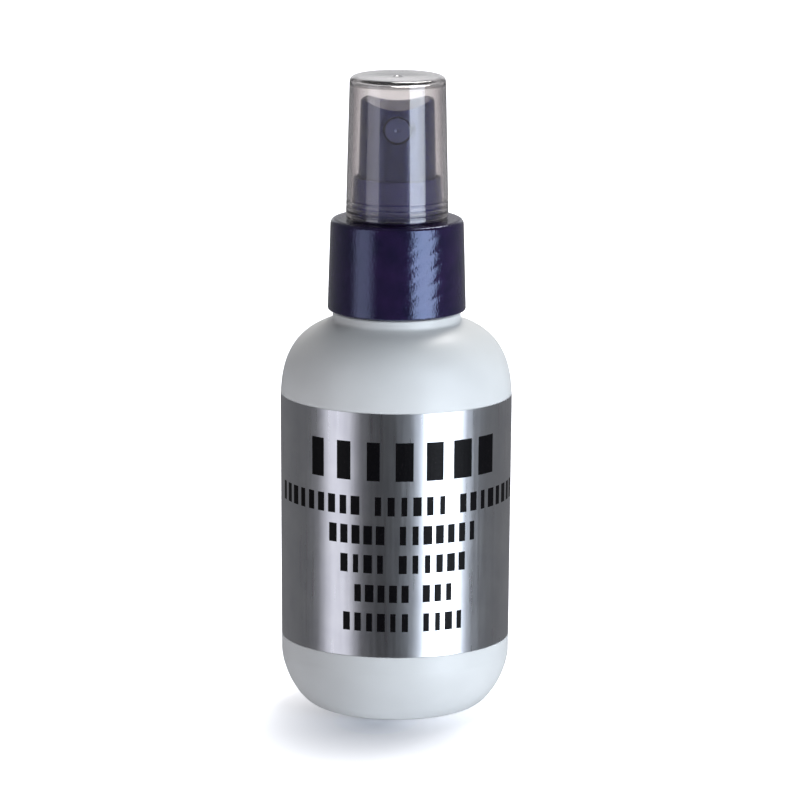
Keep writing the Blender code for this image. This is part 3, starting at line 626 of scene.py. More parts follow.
def new_tree(name, **inputs):
    """A tree with a geometry in and out, a material, and named inputs with their first values."""
    tree = bpy.data.node_groups.new(name, "GeometryNodeTree")
    tree.interface.new_socket(name="Geometry", in_out="INPUT", socket_type="NodeSocketGeometry")
    for label, value in inputs.items():
        socket = tree.interface.new_socket(name=label, in_out="INPUT", socket_type=SOCKETS[type(value)])
        socket.default_value = value
    tree.interface.new_socket(name="Material", in_out="INPUT", socket_type="NodeSocketMaterial")
    tree.interface.new_socket(name="Geometry", in_out="OUTPUT", socket_type="NodeSocketGeometry")
    sockets = add(tree, "NodeGroupInput").outputs
    return tree, {socket.name: Value(tree, socket) for socket in sockets if socket.name}


def finish_tree(tree, geometry, given):
    """Ends a tree: instances become real, the material is set, and the tree is handed back."""
    real = add(tree, "GeometryNodeRealizeInstances", {"Geometry": geometry}).outputs[0]
    coloured = add(tree, "GeometryNodeSetMaterial", {"Geometry": real, "Material": given["Material"]})
    add(tree, "NodeGroupOutput", {"Geometry": coloured.outputs[0]})
    return tree


def scaled(tree, vector, scale):
    return add(tree, "ShaderNodeVectorMath", {0: vector, "Scale": scale}, operation="SCALE").outputs[0]


def moved(tree, geometry, radius, turn, height):
    """Sends each point to a radius, an angle and a height about the axis, given in millimetres."""
    place = {0: radius * turn.math("COSINE"), 1: radius * turn.math("SINE"), 2: height}
    metres = scaled(tree, add(tree, "ShaderNodeCombineXYZ", place).outputs[0], MM)
    return add(tree, "GeometryNodeSetPosition", {"Geometry": geometry, "Position": metres}).outputs[0]


def index_of(tree):
    return Value(tree, add(tree, "GeometryNodeInputIndex").outputs[0])


def grow(name, tree, material, source=None, **values):
    """Runs a tree on a mesh, or on nothing, and returns what it makes as a plain object."""
    carrier = bpy.data.objects.new(name + "_carrier", source or bpy.data.meshes.new(name))
    bpy.context.scene.collection.objects.link(carrier)
    modifier = carrier.modifiers.new(tree.name, "NODES")
    modifier.node_group = tree
    values["Material"] = material
    for item in tree.interface.items_tree:
        if item.in_out == "INPUT" and item.name in values:
            modifier[item.identifier] = values[item.name]
    return baked(carrier, name)


# %% [markdown]
# ## The bottle
# A blown bottle is one continuous wall, so one outline goes up the outside and back down the inside.
# The heel is a superellipse a little fuller than a straight slope, the shoulder one that is squarer
# than a circle, and both take their size from the measured body. The panel under the label lies
# deeper by just the film's thickness.

# %% The bottle's sizes
BOTTLE_SIDES = 144
DRAFT = 0.35
STRAIGHT_TOP = 64.6
WALL = 1.0
HEEL_IN, HEEL_HEIGHT, HEEL_POWER = 7.4, 11.7, 1.61
SHOULDER_CENTRE, SHOULDER_HEIGHT, SHOULDER_POWER = 4.5, 19.1, 2.76
STAND_WIDTH = 2.2
PUSH_UP = 1.8
NECK_RADIUS, NECK_BORE = 10.8, 8.9
NECK_BEAD_WIDTH, NECK_BEAD_HEIGHT = 2.75, 2.0
FILM = 0.12
FILM_EDGE = 0.1

body_radius, _, mouth = measured("bottle")
_, label_low, label_high = measured("label")
heel_radius = body_radius - DRAFT
stand_radius = heel_radius - HEEL_IN
shoulder_width = body_radius - SHOULDER_CENTRE
bead_radius = NECK_RADIUS + NECK_BEAD_WIDTH


def panel_radius(height):
    """The body's outside radius, which grows a little from the heel to the shoulder."""
    share = (height - HEEL_HEIGHT) / (STRAIGHT_TOP - HEEL_HEIGHT)
    return heel_radius + DRAFT * min(share, 1.0)


def shoulder_angle(radius, wall):
    """Where on the shoulder's curve a radius lies, in degrees."""
    share = (radius - SHOULDER_CENTRE) / (shoulder_width - wall)
    return math.degrees(math.acos(share ** (SHOULDER_POWER / 2)))


def shoulder(wall, stop_radius, steps):
    centre = (SHOULDER_CENTRE, STRAIGHT_TOP)
    stop = shoulder_angle(stop_radius, wall)
    return superellipse(
        centre, shoulder_width - wall, SHOULDER_HEIGHT - wall, SHOULDER_POWER, 0.0, stop, steps
    )


def heel(wall, steps):
    curve = superellipse(
        (stand_radius, 0.0), HEEL_IN - wall, HEEL_HEIGHT - wall, HEEL_POWER, 0.0, 90.0, steps
    )
    return [(radius, HEEL_HEIGHT - height) for radius, height in reversed(curve)]


# %% The bottle's outline
foot = stand_radius - STAND_WIDTH
low, high = label_low - FILM_EDGE, label_high + FILM_EDGE
floor_curve = superellipse((0.0, 0.0), foot, PUSH_UP, 2.0, 90.0, 0.0, 12)
outline = floor_curve + heel(0.0, 28)
outline += [
    (panel_radius(low), low),
    (panel_radius(label_low) - FILM, label_low),
    (panel_radius(label_high) - FILM, label_high),
]
curve = shoulder(0.0, bead_radius, 60)
shoulder_top = curve[-1][1]
shoulder_slope = shoulder_top - shoulder(0.0, bead_radius + 1.0, 60)[-1][1]
outline += [(r, z) for r, z in curve if z > high + FILM_EDGE and r > bead_radius + 1.05]
neck_foot = shoulder_top + NECK_BEAD_HEIGHT
outline += rounded([
    (bead_radius + 1.0, shoulder_top - shoulder_slope),
    (bead_radius, shoulder_top, 1.1),
    (bead_radius, neck_foot, 0.5),
    (NECK_RADIUS, neck_foot, 0.4),
    (NECK_RADIUS, mouth, 0.35),
    (NECK_BORE, mouth, 0.35),
    (NECK_BORE, mouth - 4.0),
])
outline += list(reversed(shoulder(WALL, NECK_BORE, 24)))
outline += list(reversed(heel(WALL, 14)))
outline += [(radius, height + WALL) for radius, height in reversed(floor_curve)]
bottle = turned("bottle_shell", polyethylene, outline, BOTTLE_SIDES)
print("bottle: %d points in the outline, shoulder up to %.2f mm" % (len(outline), shoulder_top))

# %% [markdown]
# ## Screw threads
# A thread is one ridge that climbs the neck as it goes round. Modelling it as a stack of rings would
# be wrong, because it would not screw. A grid is bent instead: one side of the grid runs along the
# helix, the other round the ridge's own section, an ellipse half sunk in the wall. Both ends fade to
# nothing. The same tree makes the inner thread of the collar, with a depth below zero.


# %% A tree for a helical ridge
def helix_tree():
    tree, given = new_tree(
        "helical_ridge",
        wall_radius=10.8, depth=1.15, width=1.3, pitch=3.175, turns=1.5, start_height=90.0, steps=140,
        section_points=13,
    )
    steps, section = given["steps"], given["section_points"]
    grid = add(tree, "GeometryNodeMeshGrid", {"Vertices X": steps, "Vertices Y": section}).outputs[0]
    index = index_of(tree)
    along = (index / section).math("FLOOR")
    share = along / (steps - 1.0)
    around = (index - along * section) / (section - 1.0) * (2 * math.pi)
    to_end = share.math("MINIMUM", share * -1.0 + 1.0)
    depth = given["depth"] * between(tree, to_end, 0.0, 1.0, 0.0, 0.09, smooth=True)
    radius = given["wall_radius"] + around.math("SINE") * depth
    climbed = share * given["turns"]
    aside = around.math("COSINE") * (given["width"] / 2.0)
    height = given["start_height"] + climbed * given["pitch"] + aside
    bent = moved(tree, grid, radius, climbed * (2 * math.pi), height)
    closed = add(tree, "GeometryNodeMergeByDistance", {"Geometry": bent, "Distance": 0.002 * MM})
    return finish_tree(tree, closed.outputs[0], given)


def facing_out(item):
    """Merges doubles and turns every face of a closed shape outwards."""
    mesh = bmesh.new()
    mesh.from_mesh(item.data)
    bmesh.ops.remove_doubles(mesh, verts=mesh.verts, dist=0.002 * MM)
    bmesh.ops.dissolve_degenerate(mesh, edges=mesh.edges, dist=0.001 * MM)
    bmesh.ops.recalc_face_normals(mesh, faces=mesh.faces)
    mesh.to_mesh(item.data)
    mesh.free()
    smooth(item.data)
    return item


# %% The neck's thread
PITCH = 3.175
THREAD_TURNS = 1.5
THREAD_DEPTH = 1.15
THREAD_WIDTH = 1.3
THREAD_GAP = 0.45
BELOW_MOUTH = 2.4
ridge_tree = helix_tree()


def thread_ridge(name, material, wall_radius, depth, turns_below):
    """The ridge of the thread on a wall. A depth below zero makes it rise inwards."""
    ridge = grow(
        name, ridge_tree, material, wall_radius=wall_radius, depth=depth, width=THREAD_WIDTH,
        pitch=PITCH, turns=THREAD_TURNS, start_height=mouth - BELOW_MOUTH - turns_below * PITCH,
    )
    return facing_out(ridge)


neck_ridge = thread_ridge("neck_ridge", polyethylene, NECK_RADIUS, THREAD_DEPTH, THREAD_TURNS)
bottle = even_shading(combine(bottle, neck_ridge, "UNION"))
print("bottle with its thread: %d faces" % len(bottle.data.polygons))

# %% [markdown]
# ## The label
# The film is wrapped once round the body, with a narrow slit at the back where its two ends nearly
# meet. It is a thin closed strip, built row by row round the panel, so that its cut edges show.

# %% The label film
LABEL_STEPS = 200
SLIT = 1.6
slit_angle = SLIT / body_radius
rows = []
mesh = bmesh.new()
for step in range(LABEL_STEPS + 1):
    angle = math.pi / 2 + slit_angle / 2 + (2 * math.pi - slit_angle) * step / LABEL_STEPS
    row = []
    for height, inset in (
        (label_low, FILM - 0.01),
        (label_low, 0.02),
        (label_low + 0.03, 0.0),
        (STRAIGHT_TOP, 0.0),
        (label_high - 0.03, 0.0),
        (label_high, 0.02),
        (label_high, FILM - 0.01),
    ):
        radius = panel_radius(height) - inset
        row.append(mesh.verts.new((radius * math.cos(angle), radius * math.sin(angle), height)))
    rows.append(row)
for row, following in zip(rows, rows[1:]):
    for side in range(len(row)):
        other = (side + 1) % len(row)
        mesh.faces.new((row[side], row[other], following[other], following[side]))
mesh.faces.new(rows[0])
mesh.faces.new(rows[-1])
bmesh.ops.recalc_face_normals(mesh, faces=mesh.faces)
label = even_shading(as_object("label_film", mesh, film))
label_length = (2 * math.pi - slit_angle) * body_radius
print("label %.1f mm high, %.1f mm round" % (label_high - label_low, label_length))

# %% [markdown]
# ## The print
# The real label carries words. This one carries none: each line of print is a row of plain black bars
# of the same height, length and weight as a line of bold type, so that the label keeps its balance
# and says nothing. A tree places one bar per point, gives it a width from a fixed seed, and bends it
# on to the film. The rows differ only in the numbers of this table.


# %% A tree that prints a row of bars
def print_tree():
    tree, given = new_tree(
        "printed_bars",
        height=4.0, cell=1.6, narrowest=0.4, widest=0.74, film_radius=24.4, slope=0.0066, middle=40.0,
        ink=0.02, centre_angle=0.0, seed=1,
    )
    limits = {2: given["narrowest"], 3: given["widest"], "Seed": given["seed"]}
    width = Value(tree, add(tree, "FunctionNodeRandomValue", limits, data_type="FLOAT").outputs[1])
    size = add(tree, "ShaderNodeCombineXYZ", {0: width * given["cell"], 1: given["ink"], 2: given["height"]})
    bar = {"Size": (1.0, 1.0, 1.0), "Vertices X": 5, "Vertices Y": 2, "Vertices Z": 2}
    bar = add(tree, "GeometryNodeMeshCube", bar).outputs[0]
    copies = {"Points": given["Geometry"], "Instance": bar, "Scale": size.outputs[0]}
    copies = add(tree, "GeometryNodeInstanceOnPoints", copies).outputs[0]
    real = add(tree, "GeometryNodeRealizeInstances", {"Geometry": copies}).outputs[0]
    x, y, z = axes(tree, add(tree, "GeometryNodeInputPosition").outputs[0])
    turn = x / given["film_radius"] + given["centre_angle"]
    radius = given["film_radius"] + (z - given["middle"]) * given["slope"] - y
    return finish_tree(tree, moved(tree, real, radius, turn, z), given)


# %% The rows of print
PRINT_TURN = math.radians(4.3 - 90.0)  # from +X, so a little to the right of the front
INK = 0.02
ROWS = (
    # centre height, bar height, length of the row, bars in each group
    (57.1, 8.2, 46.0, (7,)),
    (47.6, 4.0, 68.0, (9, 6, 8)),
    (41.4, 4.0, 34.0, (5, 7)),
    (35.2, 3.9, 28.6, (4, 6)),
    (28.9, 3.7, 22.2, (5, 3)),
    (22.7, 3.9, 27.2, (6, 4)),
)
GROUP_SPACE = 0.8  # of a bar's cell
bars = print_tree()
printed = []
for number, (middle, bar_height, row_length, groups) in enumerate(ROWS):
    cells = sum(groups) + GROUP_SPACE * (len(groups) - 1)
    cell = row_length / cells
    points = []
    start = -row_length / 2
    for group in groups:
        points += [(start + cell * (place + 0.5), 0.0, middle) for place in range(group)]
        start += cell * (group + GROUP_SPACE)
    marks = bpy.data.meshes.new("row_points")
    marks.from_pydata(points, [], [])
    row = grow(
        "print_row_%d" % number, bars, ink, marks,
        height=bar_height, cell=cell, film_radius=panel_radius(middle) + INK / 2,
        slope=DRAFT / (STRAIGHT_TOP - HEEL_HEIGHT), middle=middle, ink=INK, centre_angle=PRINT_TURN,
        seed=number + 1,
    )
    printed.append(row)
    print("row %d: %d bars in %.1f mm" % (number, len(points), row_length))

# %% [markdown]
# ## The collar
# The collar is a screw cap that also carries the tower round the actuator. Its thread is moulded on
# the inside of a plain wall, and plastic shrinks more where it is thick: so the outside shows shallow
# slanting hollows, one above another at the thread's pitch, and deepest to the right of the front. They
# are 0.07 mm deep, but they break a long reflection into wedges. The lathe makes the wall with many
# rows, and a tree presses the hollows into it.

# %% The collar's outline
COLLAR_SIDES = 192
COLLAR_TAPER = 0.57
PLATE = 1.3
TOWER_HEIGHT = 9.0
TOWER_WALL = 0.7
TOWER_TAPER = 0.33
PLATE_HOLE = 7.0
SNAP_HEIGHT, SNAP_ABOVE_PLATE, SNAP_DEPTH = 1.0, 2.4, 0.2
TURN_GAP = 0.25

collar_radius, collar_low, tower_top = measured("collar")
actuator_radius, actuator_low, actuator_top = measured("actuator")
collar_top = tower_top - TOWER_HEIGHT
collar_bore = NECK_RADIUS + THREAD_DEPTH + THREAD_GAP
tower_bore = actuator_radius + TURN_GAP
tower_top_radius = tower_bore + TOWER_WALL
tower_radius = tower_top_radius + TOWER_TAPER
snap = collar_top + SNAP_ABOVE_PLATE
ROW = 0.32  # between the rows of faces on the skirt
skirt = [
    (collar_bore, collar_low),
    (collar_bore + 0.4, collar_low),
    (collar_radius, collar_low, 0.5),
    (collar_radius - COLLAR_TAPER, collar_top, 1.3),
    (tower_radius + 1.0, collar_top),
]
outer_wall = divided(rounded(skirt, 8), ROW)
tower_and_inside = rounded([
    (tower_radius + 0.9, collar_top),
    (tower_radius, collar_top, 0.3),
    (tower_radius, snap - SNAP_HEIGHT / 2, 0.1),
    (tower_radius + SNAP_DEPTH, snap, 0.3),
    (tower_radius, snap + SNAP_HEIGHT / 2, 0.1),
    (tower_top_radius, tower_top, 0.45),
    (tower_bore, tower_top, 0.18),
    (tower_bore, collar_top, 0.2),
    (PLATE_HOLE, collar_top, 0.15),
    (PLATE_HOLE, collar_top - PLATE, 0.15),
    (collar_bore, collar_top - PLATE, 0.4),
    (collar_bore, collar_low + 0.3),
])
collar = turned("collar_blank", collar_plastic, outer_wall + tower_and_inside, COLLAR_SIDES)


# %% A tree that presses the sink marks
def sink_tree():
    tree, given = new_tree(
        "thread_sink_marks",
        depth=0.04, pitch=3.175, lowest=88.0, highest=102.0, outside_radius=13.6, deepest_angle=-1.2,
        half_spread=0.4, slant=3.6, narrowness=2.5,
    )
    low, high, spread = given["lowest"], given["highest"], given["half_spread"]
    place = add(tree, "GeometryNodeInputPosition").outputs[0]
    x, y, z = axes(tree, scaled(tree, place, 1 / MM))
    radius = (x * x + y * y).math("SQRT")
    from_deepest = y.math("ARCTAN2", x) - given["deepest_angle"]
    phase = (z / given["pitch"] - from_deepest * given["slant"]) * (2 * math.pi)
    wave = (phase.math("COSINE") * 0.5 + 0.5).math("POWER", given["narrowness"])
    nearby = between(tree, from_deepest.math("ABSOLUTE"), 1.0, 0.08, spread * 0.5, spread, smooth=True)
    up = between(tree, z, 0.0, 1.0, low, low + 2.0, smooth=True)
    down = between(tree, z, 1.0, 0.0, high - 2.0, high, smooth=True)
    outside = radius.math("GREATER_THAN", given["outside_radius"])
    depth = given["depth"] * (wave * nearby) * (up * down) * outside
    level = add(tree, "ShaderNodeVectorMath", {0: place, 1: (1.0, 1.0, 0.0)}, operation="MULTIPLY").outputs[0]
    shift = scaled(tree, level, depth / radius * -1.0)
    pressed = add(tree, "GeometryNodeSetPosition", {"Geometry": given["Geometry"], "Offset": shift})
    return finish_tree(tree, pressed.outputs[0], given)


# %% The collar with its thread and sink marks
blank = collar.data.copy()
bpy.data.objects.remove(collar)
collar = grow(
    "collar_shell", sink_tree(), collar_plastic, blank,
    depth=0.07, pitch=PITCH, lowest=collar_low + 1.0, highest=collar_top - 1.0,
    outside_radius=collar_radius - COLLAR_TAPER - 0.25, deepest_angle=math.radians(-61),
    half_spread=math.radians(21), slant=2.6, narrowness=3.0,
)
ridge_depth = NECK_RADIUS + THREAD_GAP - collar_bore
collar_ridge = thread_ridge("collar_ridge", collar_plastic, collar_bore, ridge_depth, THREAD_TURNS + 0.5)
collar = even_shading(combine(facing_out(collar), collar_ridge, "UNION"))
print("collar: %d faces, tower %.2f mm round" % (len(collar.data.polygons), 2 * tower_radius))

# %% [markdown]
# ## The cover
# The cover is a thin clear cup. What shows of it are its edges: the rounded shoulder that catches a
# line of light, the lower rim, and three fine grooves above it where the snap bead is. Because light
# is bent at both faces of the wall, both have to be modelled, with the true wall between them.

# %% The cover
COVER_SIDES = 144
COVER_WALL = 0.85
COVER_ROOF = 1.0
COVER_TAPER = 0.73
ROOF_DIP = 0.25
GROOVE_DEPTH, GROOVE_HALF = 0.09, 0.22
GROOVE_HEIGHTS = (1.2, 2.45, 3.65)
GATE_RADIUS, GATE_RISE = 1.1, 0.12

cover_radius, cover_low, cover_top = measured("overcap")
cover_top_radius = cover_radius - COVER_TAPER
roof_middle = cover_top - ROOF_DIP


def cover_wall(height):
    """The cover's outside radius at a height."""
    share = (height - cover_low) / (cover_top - cover_low)
    return cover_radius - COVER_TAPER * share


corners = [
    (0.0, roof_middle),
    (GATE_RADIUS - 0.3, roof_middle, 0.05),
    (GATE_RADIUS, roof_middle + GATE_RISE, 0.05),
    (GATE_RADIUS + 0.5, roof_middle + GATE_RISE / 2, 0.2),
    (cover_top_radius * 0.72, cover_top, 2.5),
    (cover_top_radius, cover_top, 1.5),
]
for rise in reversed(GROOVE_HEIGHTS):
    groove = cover_low + rise
    for part in (1, 0, -1):
        height = groove + part * GROOVE_HALF
        inset = 0.0 if part else GROOVE_DEPTH
        corners.append((cover_wall(height) - inset, height, 0.08))
inner_snap = snap - SNAP_HEIGHT
corners += [
    (cover_radius, cover_low, 0.3),
    (cover_radius - COVER_WALL, cover_low, 0.3),
    (cover_radius - COVER_WALL, inner_snap - SNAP_HEIGHT / 2, 0.1),
    (cover_radius - COVER_WALL - SNAP_DEPTH, inner_snap, 0.3),
    (cover_radius - COVER_WALL, inner_snap + SNAP_HEIGHT / 2, 0.1),
    (cover_top_radius - COVER_WALL, cover_top - COVER_ROOF, 1.1),
    (0.0, cover_top - COVER_ROOF),
]
cover = even_shading(moulded("cover_shell", smoky, corners, COVER_SIDES, 7))
print("cover %.1f mm high and %.1f mm across" % (cover_top - cover_low, 2 * cover_radius))

# %% [markdown]
# ## The actuator
# The actuator starts as a turned cap with a hollow core for the stem. A finger groove is then milled
# across its top from front to back, which leaves the two small horns that show beside it, and a round
# pocket is sunk in its front for the nozzle, with a post in the middle. These cuts are Boolean
# operations with turned tools, and a small bevel takes the edge off what they leave.

# %% The actuator's blank
ACTUATOR_SIDES = 128
ACTUATOR_TAPER = 0.43
ACTUATOR_WALL, ACTUATOR_ROOF = 1.1, 1.6
FINGER_GROOVE, GROOVE_RIM = 1.7, 1.2
STEM_RADIUS, CORE_WALL, STEM_IN_CORE = 2.3, 1.3, 9.2
NOZZLE_LENGTH, NOZZLE_WALL, NOZZLE_FACE, NOZZLE_SUNK = 2.6, 0.8, 0.6, 0.35
BOSS_WALL = 0.8
GAP = 0.3

actuator_top_radius = actuator_radius - ACTUATOR_TAPER
inside_top = actuator_top - FINGER_GROOVE - ACTUATOR_ROOF
stem_socket = STEM_RADIUS + TURN_GAP
core_radius = stem_socket + CORE_WALL
socket_top = actuator_low + STEM_IN_CORE + GAP
actuator = moulded("actuator_shell", actuator_plastic, [
    (0.0, actuator_top),
    (actuator_top_radius, actuator_top, 0.9),
    (actuator_radius, tower_top, 0.5),
    (actuator_radius, actuator_low, 0.2),
    (actuator_radius - ACTUATOR_WALL, actuator_low, 0.2),
    (actuator_top_radius - ACTUATOR_WALL, inside_top, 0.5),
    (core_radius, inside_top, 0.4),
    (core_radius, actuator_low, 0.15),
    (stem_socket, actuator_low, 0.2),
    (stem_socket, socket_top),
    (0.0, socket_top),
], ACTUATOR_SIDES)


# %% Tools for the cuts
def bar_between(radius, start, end, sides=SIDES, edge=0.0):
    """A round closed bar from one point to another, in millimetres, with its ends rounded off."""
    start, end = Vector(start), Vector(end)
    length = (end - start).length
    mesh = lathe(rounded([(0.0, 0.0), (radius, 0.0, edge), (radius, length, edge), (0.0, length)], 4), sides)
    turn = (end - start).to_track_quat("Z", "Y").to_matrix().to_4x4()
    bmesh.ops.transform(mesh, matrix=Matrix.Translation(start) @ turn, verts=mesh.verts)
    return as_object("tool", mesh)


nozzle_low, nozzle_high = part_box("nozzle_insert")
nozzle_radius = (nozzle_high.x - nozzle_low.x) / 2 / MM
nozzle_z = (nozzle_high.z + nozzle_low.z) / 2 / MM
nozzle_front = nozzle_low.y / MM
wall_front = nozzle_front - NOZZLE_SUNK

half_chord = actuator_top_radius - GROOVE_RIM
groove_radius = (half_chord**2 + FINGER_GROOVE**2) / (2 * FINGER_GROOVE)
groove_z = actuator_top - FINGER_GROOVE + groove_radius
groove_end = 2 * actuator_radius
groove = bar_between(groove_radius, (0, -groove_end, groove_z), (0, groove_end, groove_z), 240)
actuator = combine(actuator, groove, "DIFFERENCE")

boss_radius = nozzle_radius + GAP + BOSS_WALL
boss = bar_between(boss_radius, (0, -STEM_RADIUS, nozzle_z), (0, wall_front + ACTUATOR_WALL / 2, nozzle_z))
actuator = combine(actuator, boss, "UNION")
pocket_end = wall_front + NOZZLE_SUNK + NOZZLE_LENGTH + GAP
pocket_start = (0, wall_front - ACTUATOR_WALL, nozzle_z)
pocket = bar_between(nozzle_radius + GAP, pocket_start, (0, pocket_end, nozzle_z))
actuator = combine(actuator, pocket, "DIFFERENCE")
post_radius = nozzle_radius - NOZZLE_WALL - GAP
post_front = nozzle_front + NOZZLE_FACE + GAP
post = bar_between(post_radius, (0, post_front, nozzle_z), (0, pocket_end + GAP, nozzle_z), 48, 0.15)
actuator = combine(actuator, post, "UNION")

# %% Softened edges on the actuator
actuator = facing_out(actuator)
soften = actuator.modifiers.new("soften", "BEVEL")
soften.width = 0.14 * MM
soften.segments = 2
soften.limit_method = "ANGLE"
soften.angle_limit = math.radians(48)
soften.use_clamp_overlap = True
actuator = even_shading(baked(actuator))
print("actuator: %d faces" % len(actuator.data.polygons))

# %% [markdown]
# ## The nozzle
# The nozzle is a small cup pressed over the post. Liquid swirls behind its face and leaves by a hole
# 0.4 mm across, at the bottom of a shallow cone. It is a turned shape like the rest, laid on its side.

# %% The nozzle cup
ORIFICE = 0.2
CONE_RADIUS, CONE_DEPTH = 0.7, 0.22
inner = nozzle_radius - NOZZLE_WALL
mesh = lathe(rounded([
    (ORIFICE, CONE_DEPTH),
    (CONE_RADIUS, 0.0, 0.1),
    (nozzle_radius, 0.0, 0.35),
    (nozzle_radius, NOZZLE_LENGTH, 0.15),
    (inner, NOZZLE_LENGTH, 0.15),
    (inner, NOZZLE_FACE, 0.15),
    (ORIFICE, NOZZLE_FACE),
]), SIDES)
lay_down = Vector((0, 1, 0)).to_track_quat("Z", "Y").to_matrix().to_4x4()
in_front = Matrix.Translation((0, nozzle_front, nozzle_z))
bmesh.ops.transform(mesh, matrix=in_front @ lay_down, verts=mesh.verts)
nozzle = even_shading(as_object("nozzle_cup", mesh, nozzle_plastic))
print("nozzle face at y %.2f mm" % nozzle_front)

# %% [markdown]
# ## Inside the pump
# These pieces hold the pump together and move when it is pressed: gasket, housing, plug, suction tube,
# stem, valve and piston. They are all turned, so each is one outline with its own small fillets, placed
# between the heights that the frame gives.

# %% Gasket, housing and plug
gasket_radius, gasket_low, gasket_high = measured("neck_gasket")
gasket = moulded("gasket_ring", foam, [
    (NECK_BORE, (gasket_low + gasket_high) / 2),
    (NECK_BORE, gasket_low, 0.15),
    (gasket_radius, gasket_low, 0.25),
    (gasket_radius, gasket_high, 0.25),
    (NECK_BORE, gasket_high, 0.15),
    (NECK_BORE, (gasket_low + gasket_high) / 2 + 0.01),
])

HOUSING_WALL, FLANGE = 0.9, 1.2
BARREL_BORE, CHAMBER_BORE, CHAMBER_DEPTH = 4.6, 3.4, 11.6
STROKE_LEFT = 6.5  # bore under the piston at rest
BALL_CLEARANCE, RIB_REACH, RIB_HEIGHT = 0.45, 0.7, 0.8
THROAT = 0.9
TUBE_RADIUS = measured("dip_tube")[0]
flange_radius, socket_low, flange_high = measured("pump_housing")
ball_radius, ball_low, ball_high = measured("check_ball")
_, piston_low, piston_high = measured("piston")
barrel_floor = piston_low - STROKE_LEFT
chamber_floor = barrel_floor - CHAMBER_DEPTH
ball_bore = ball_radius + BALL_CLEARANCE
socket_high = measured("dip_tube")[2] + GAP
seat_low = socket_high + HOUSING_WALL
seat_high = seat_low + (ball_bore - THROAT) / math.tan(math.radians(41))
socket_bore = TUBE_RADIUS + GAP
step_in = BARREL_BORE - CHAMBER_BORE
housing = moulded("housing_shell", natural, [
    (BARREL_BORE, flange_high - 0.5),
    (BARREL_BORE, barrel_floor, 0.3),
    (CHAMBER_BORE, barrel_floor - step_in, 0.3),
    (CHAMBER_BORE, chamber_floor, 0.2),
    (ball_bore - RIB_REACH, chamber_floor, 0.15),
    (ball_bore - RIB_REACH, chamber_floor - RIB_HEIGHT, 0.15),
    (ball_bore, chamber_floor - RIB_HEIGHT, 0.1),
    (ball_bore, seat_high, 0.3),
    (THROAT, seat_low, 0.2),
    (THROAT, socket_high, 0.1),
    (socket_bore, socket_high, 0.1),
    (socket_bore, socket_low, 0.25),
    (socket_bore + HOUSING_WALL, socket_low, 0.25),
    (socket_bore + HOUSING_WALL, socket_high, 0.3),
    (ball_bore + HOUSING_WALL, seat_high, 0.4),
    (ball_bore + HOUSING_WALL, chamber_floor - RIB_HEIGHT, 0.4),
    (CHAMBER_BORE + HOUSING_WALL, chamber_floor, 0.6),
    (CHAMBER_BORE + HOUSING_WALL, barrel_floor - step_in - HOUSING_WALL, 0.5),
    (BARREL_BORE + HOUSING_WALL, barrel_floor - HOUSING_WALL, 0.6),
    (BARREL_BORE + HOUSING_WALL, flange_high - FLANGE, 0.4),
    (flange_radius, flange_high - FLANGE, 0.2),
    (flange_radius, flange_high, 0.2),
    (BARREL_BORE, flange_high, 0.2),
    (BARREL_BORE, flange_high - 0.49),
])
PLUG_WALL = 1.0
rim_radius, plug_low, plug_high = measured("housing_cap")
plug_radius = BARREL_BORE - GAP
shoulder_z = flange_high + GAP
plug = moulded("housing_plug", natural, [
    (stem_socket, plug_high - 0.5),
    (stem_socket, shoulder_z - PLUG_WALL, 0.15),
    (plug_radius - PLUG_WALL, shoulder_z - PLUG_WALL, 0.2),
    (plug_radius - PLUG_WALL, plug_low, 0.15),
    (plug_radius, plug_low, 0.2),
    (plug_radius, shoulder_z, 0.2),
    (rim_radius, shoulder_z, 0.2),
    (rim_radius, plug_high, 0.3),
    (stem_socket, plug_high, 0.2),
    (stem_socket, plug_high - 0.49),
])
print("housing %.1f mm deep, plug rim %.1f mm across" % (flange_high - socket_low, 2 * rim_radius))

# %% Suction tube, cut at a slant
TUBE_BORE = 1.1
TUBE_CUT = math.radians(40)
_, tube_low, tube_high = measured("dip_tube")
mesh = lathe(rounded([
    (TUBE_BORE, tube_high - 1.0),
    (TUBE_BORE, tube_high, 0.1),
    (TUBE_RADIUS, tube_high, 0.15),
    (TUBE_RADIUS, tube_low, 0.06),
    (TUBE_BORE, tube_low, 0.06),
    (TUBE_BORE, tube_high - 1.01),
]), SIDES)
for vert in mesh.verts:
    if vert.co.z < tube_low + GAP:
        vert.co.z += (vert.co.x + TUBE_RADIUS) * math.tan(TUBE_CUT)
tube = even_shading(as_object("suction_tube", mesh, natural))

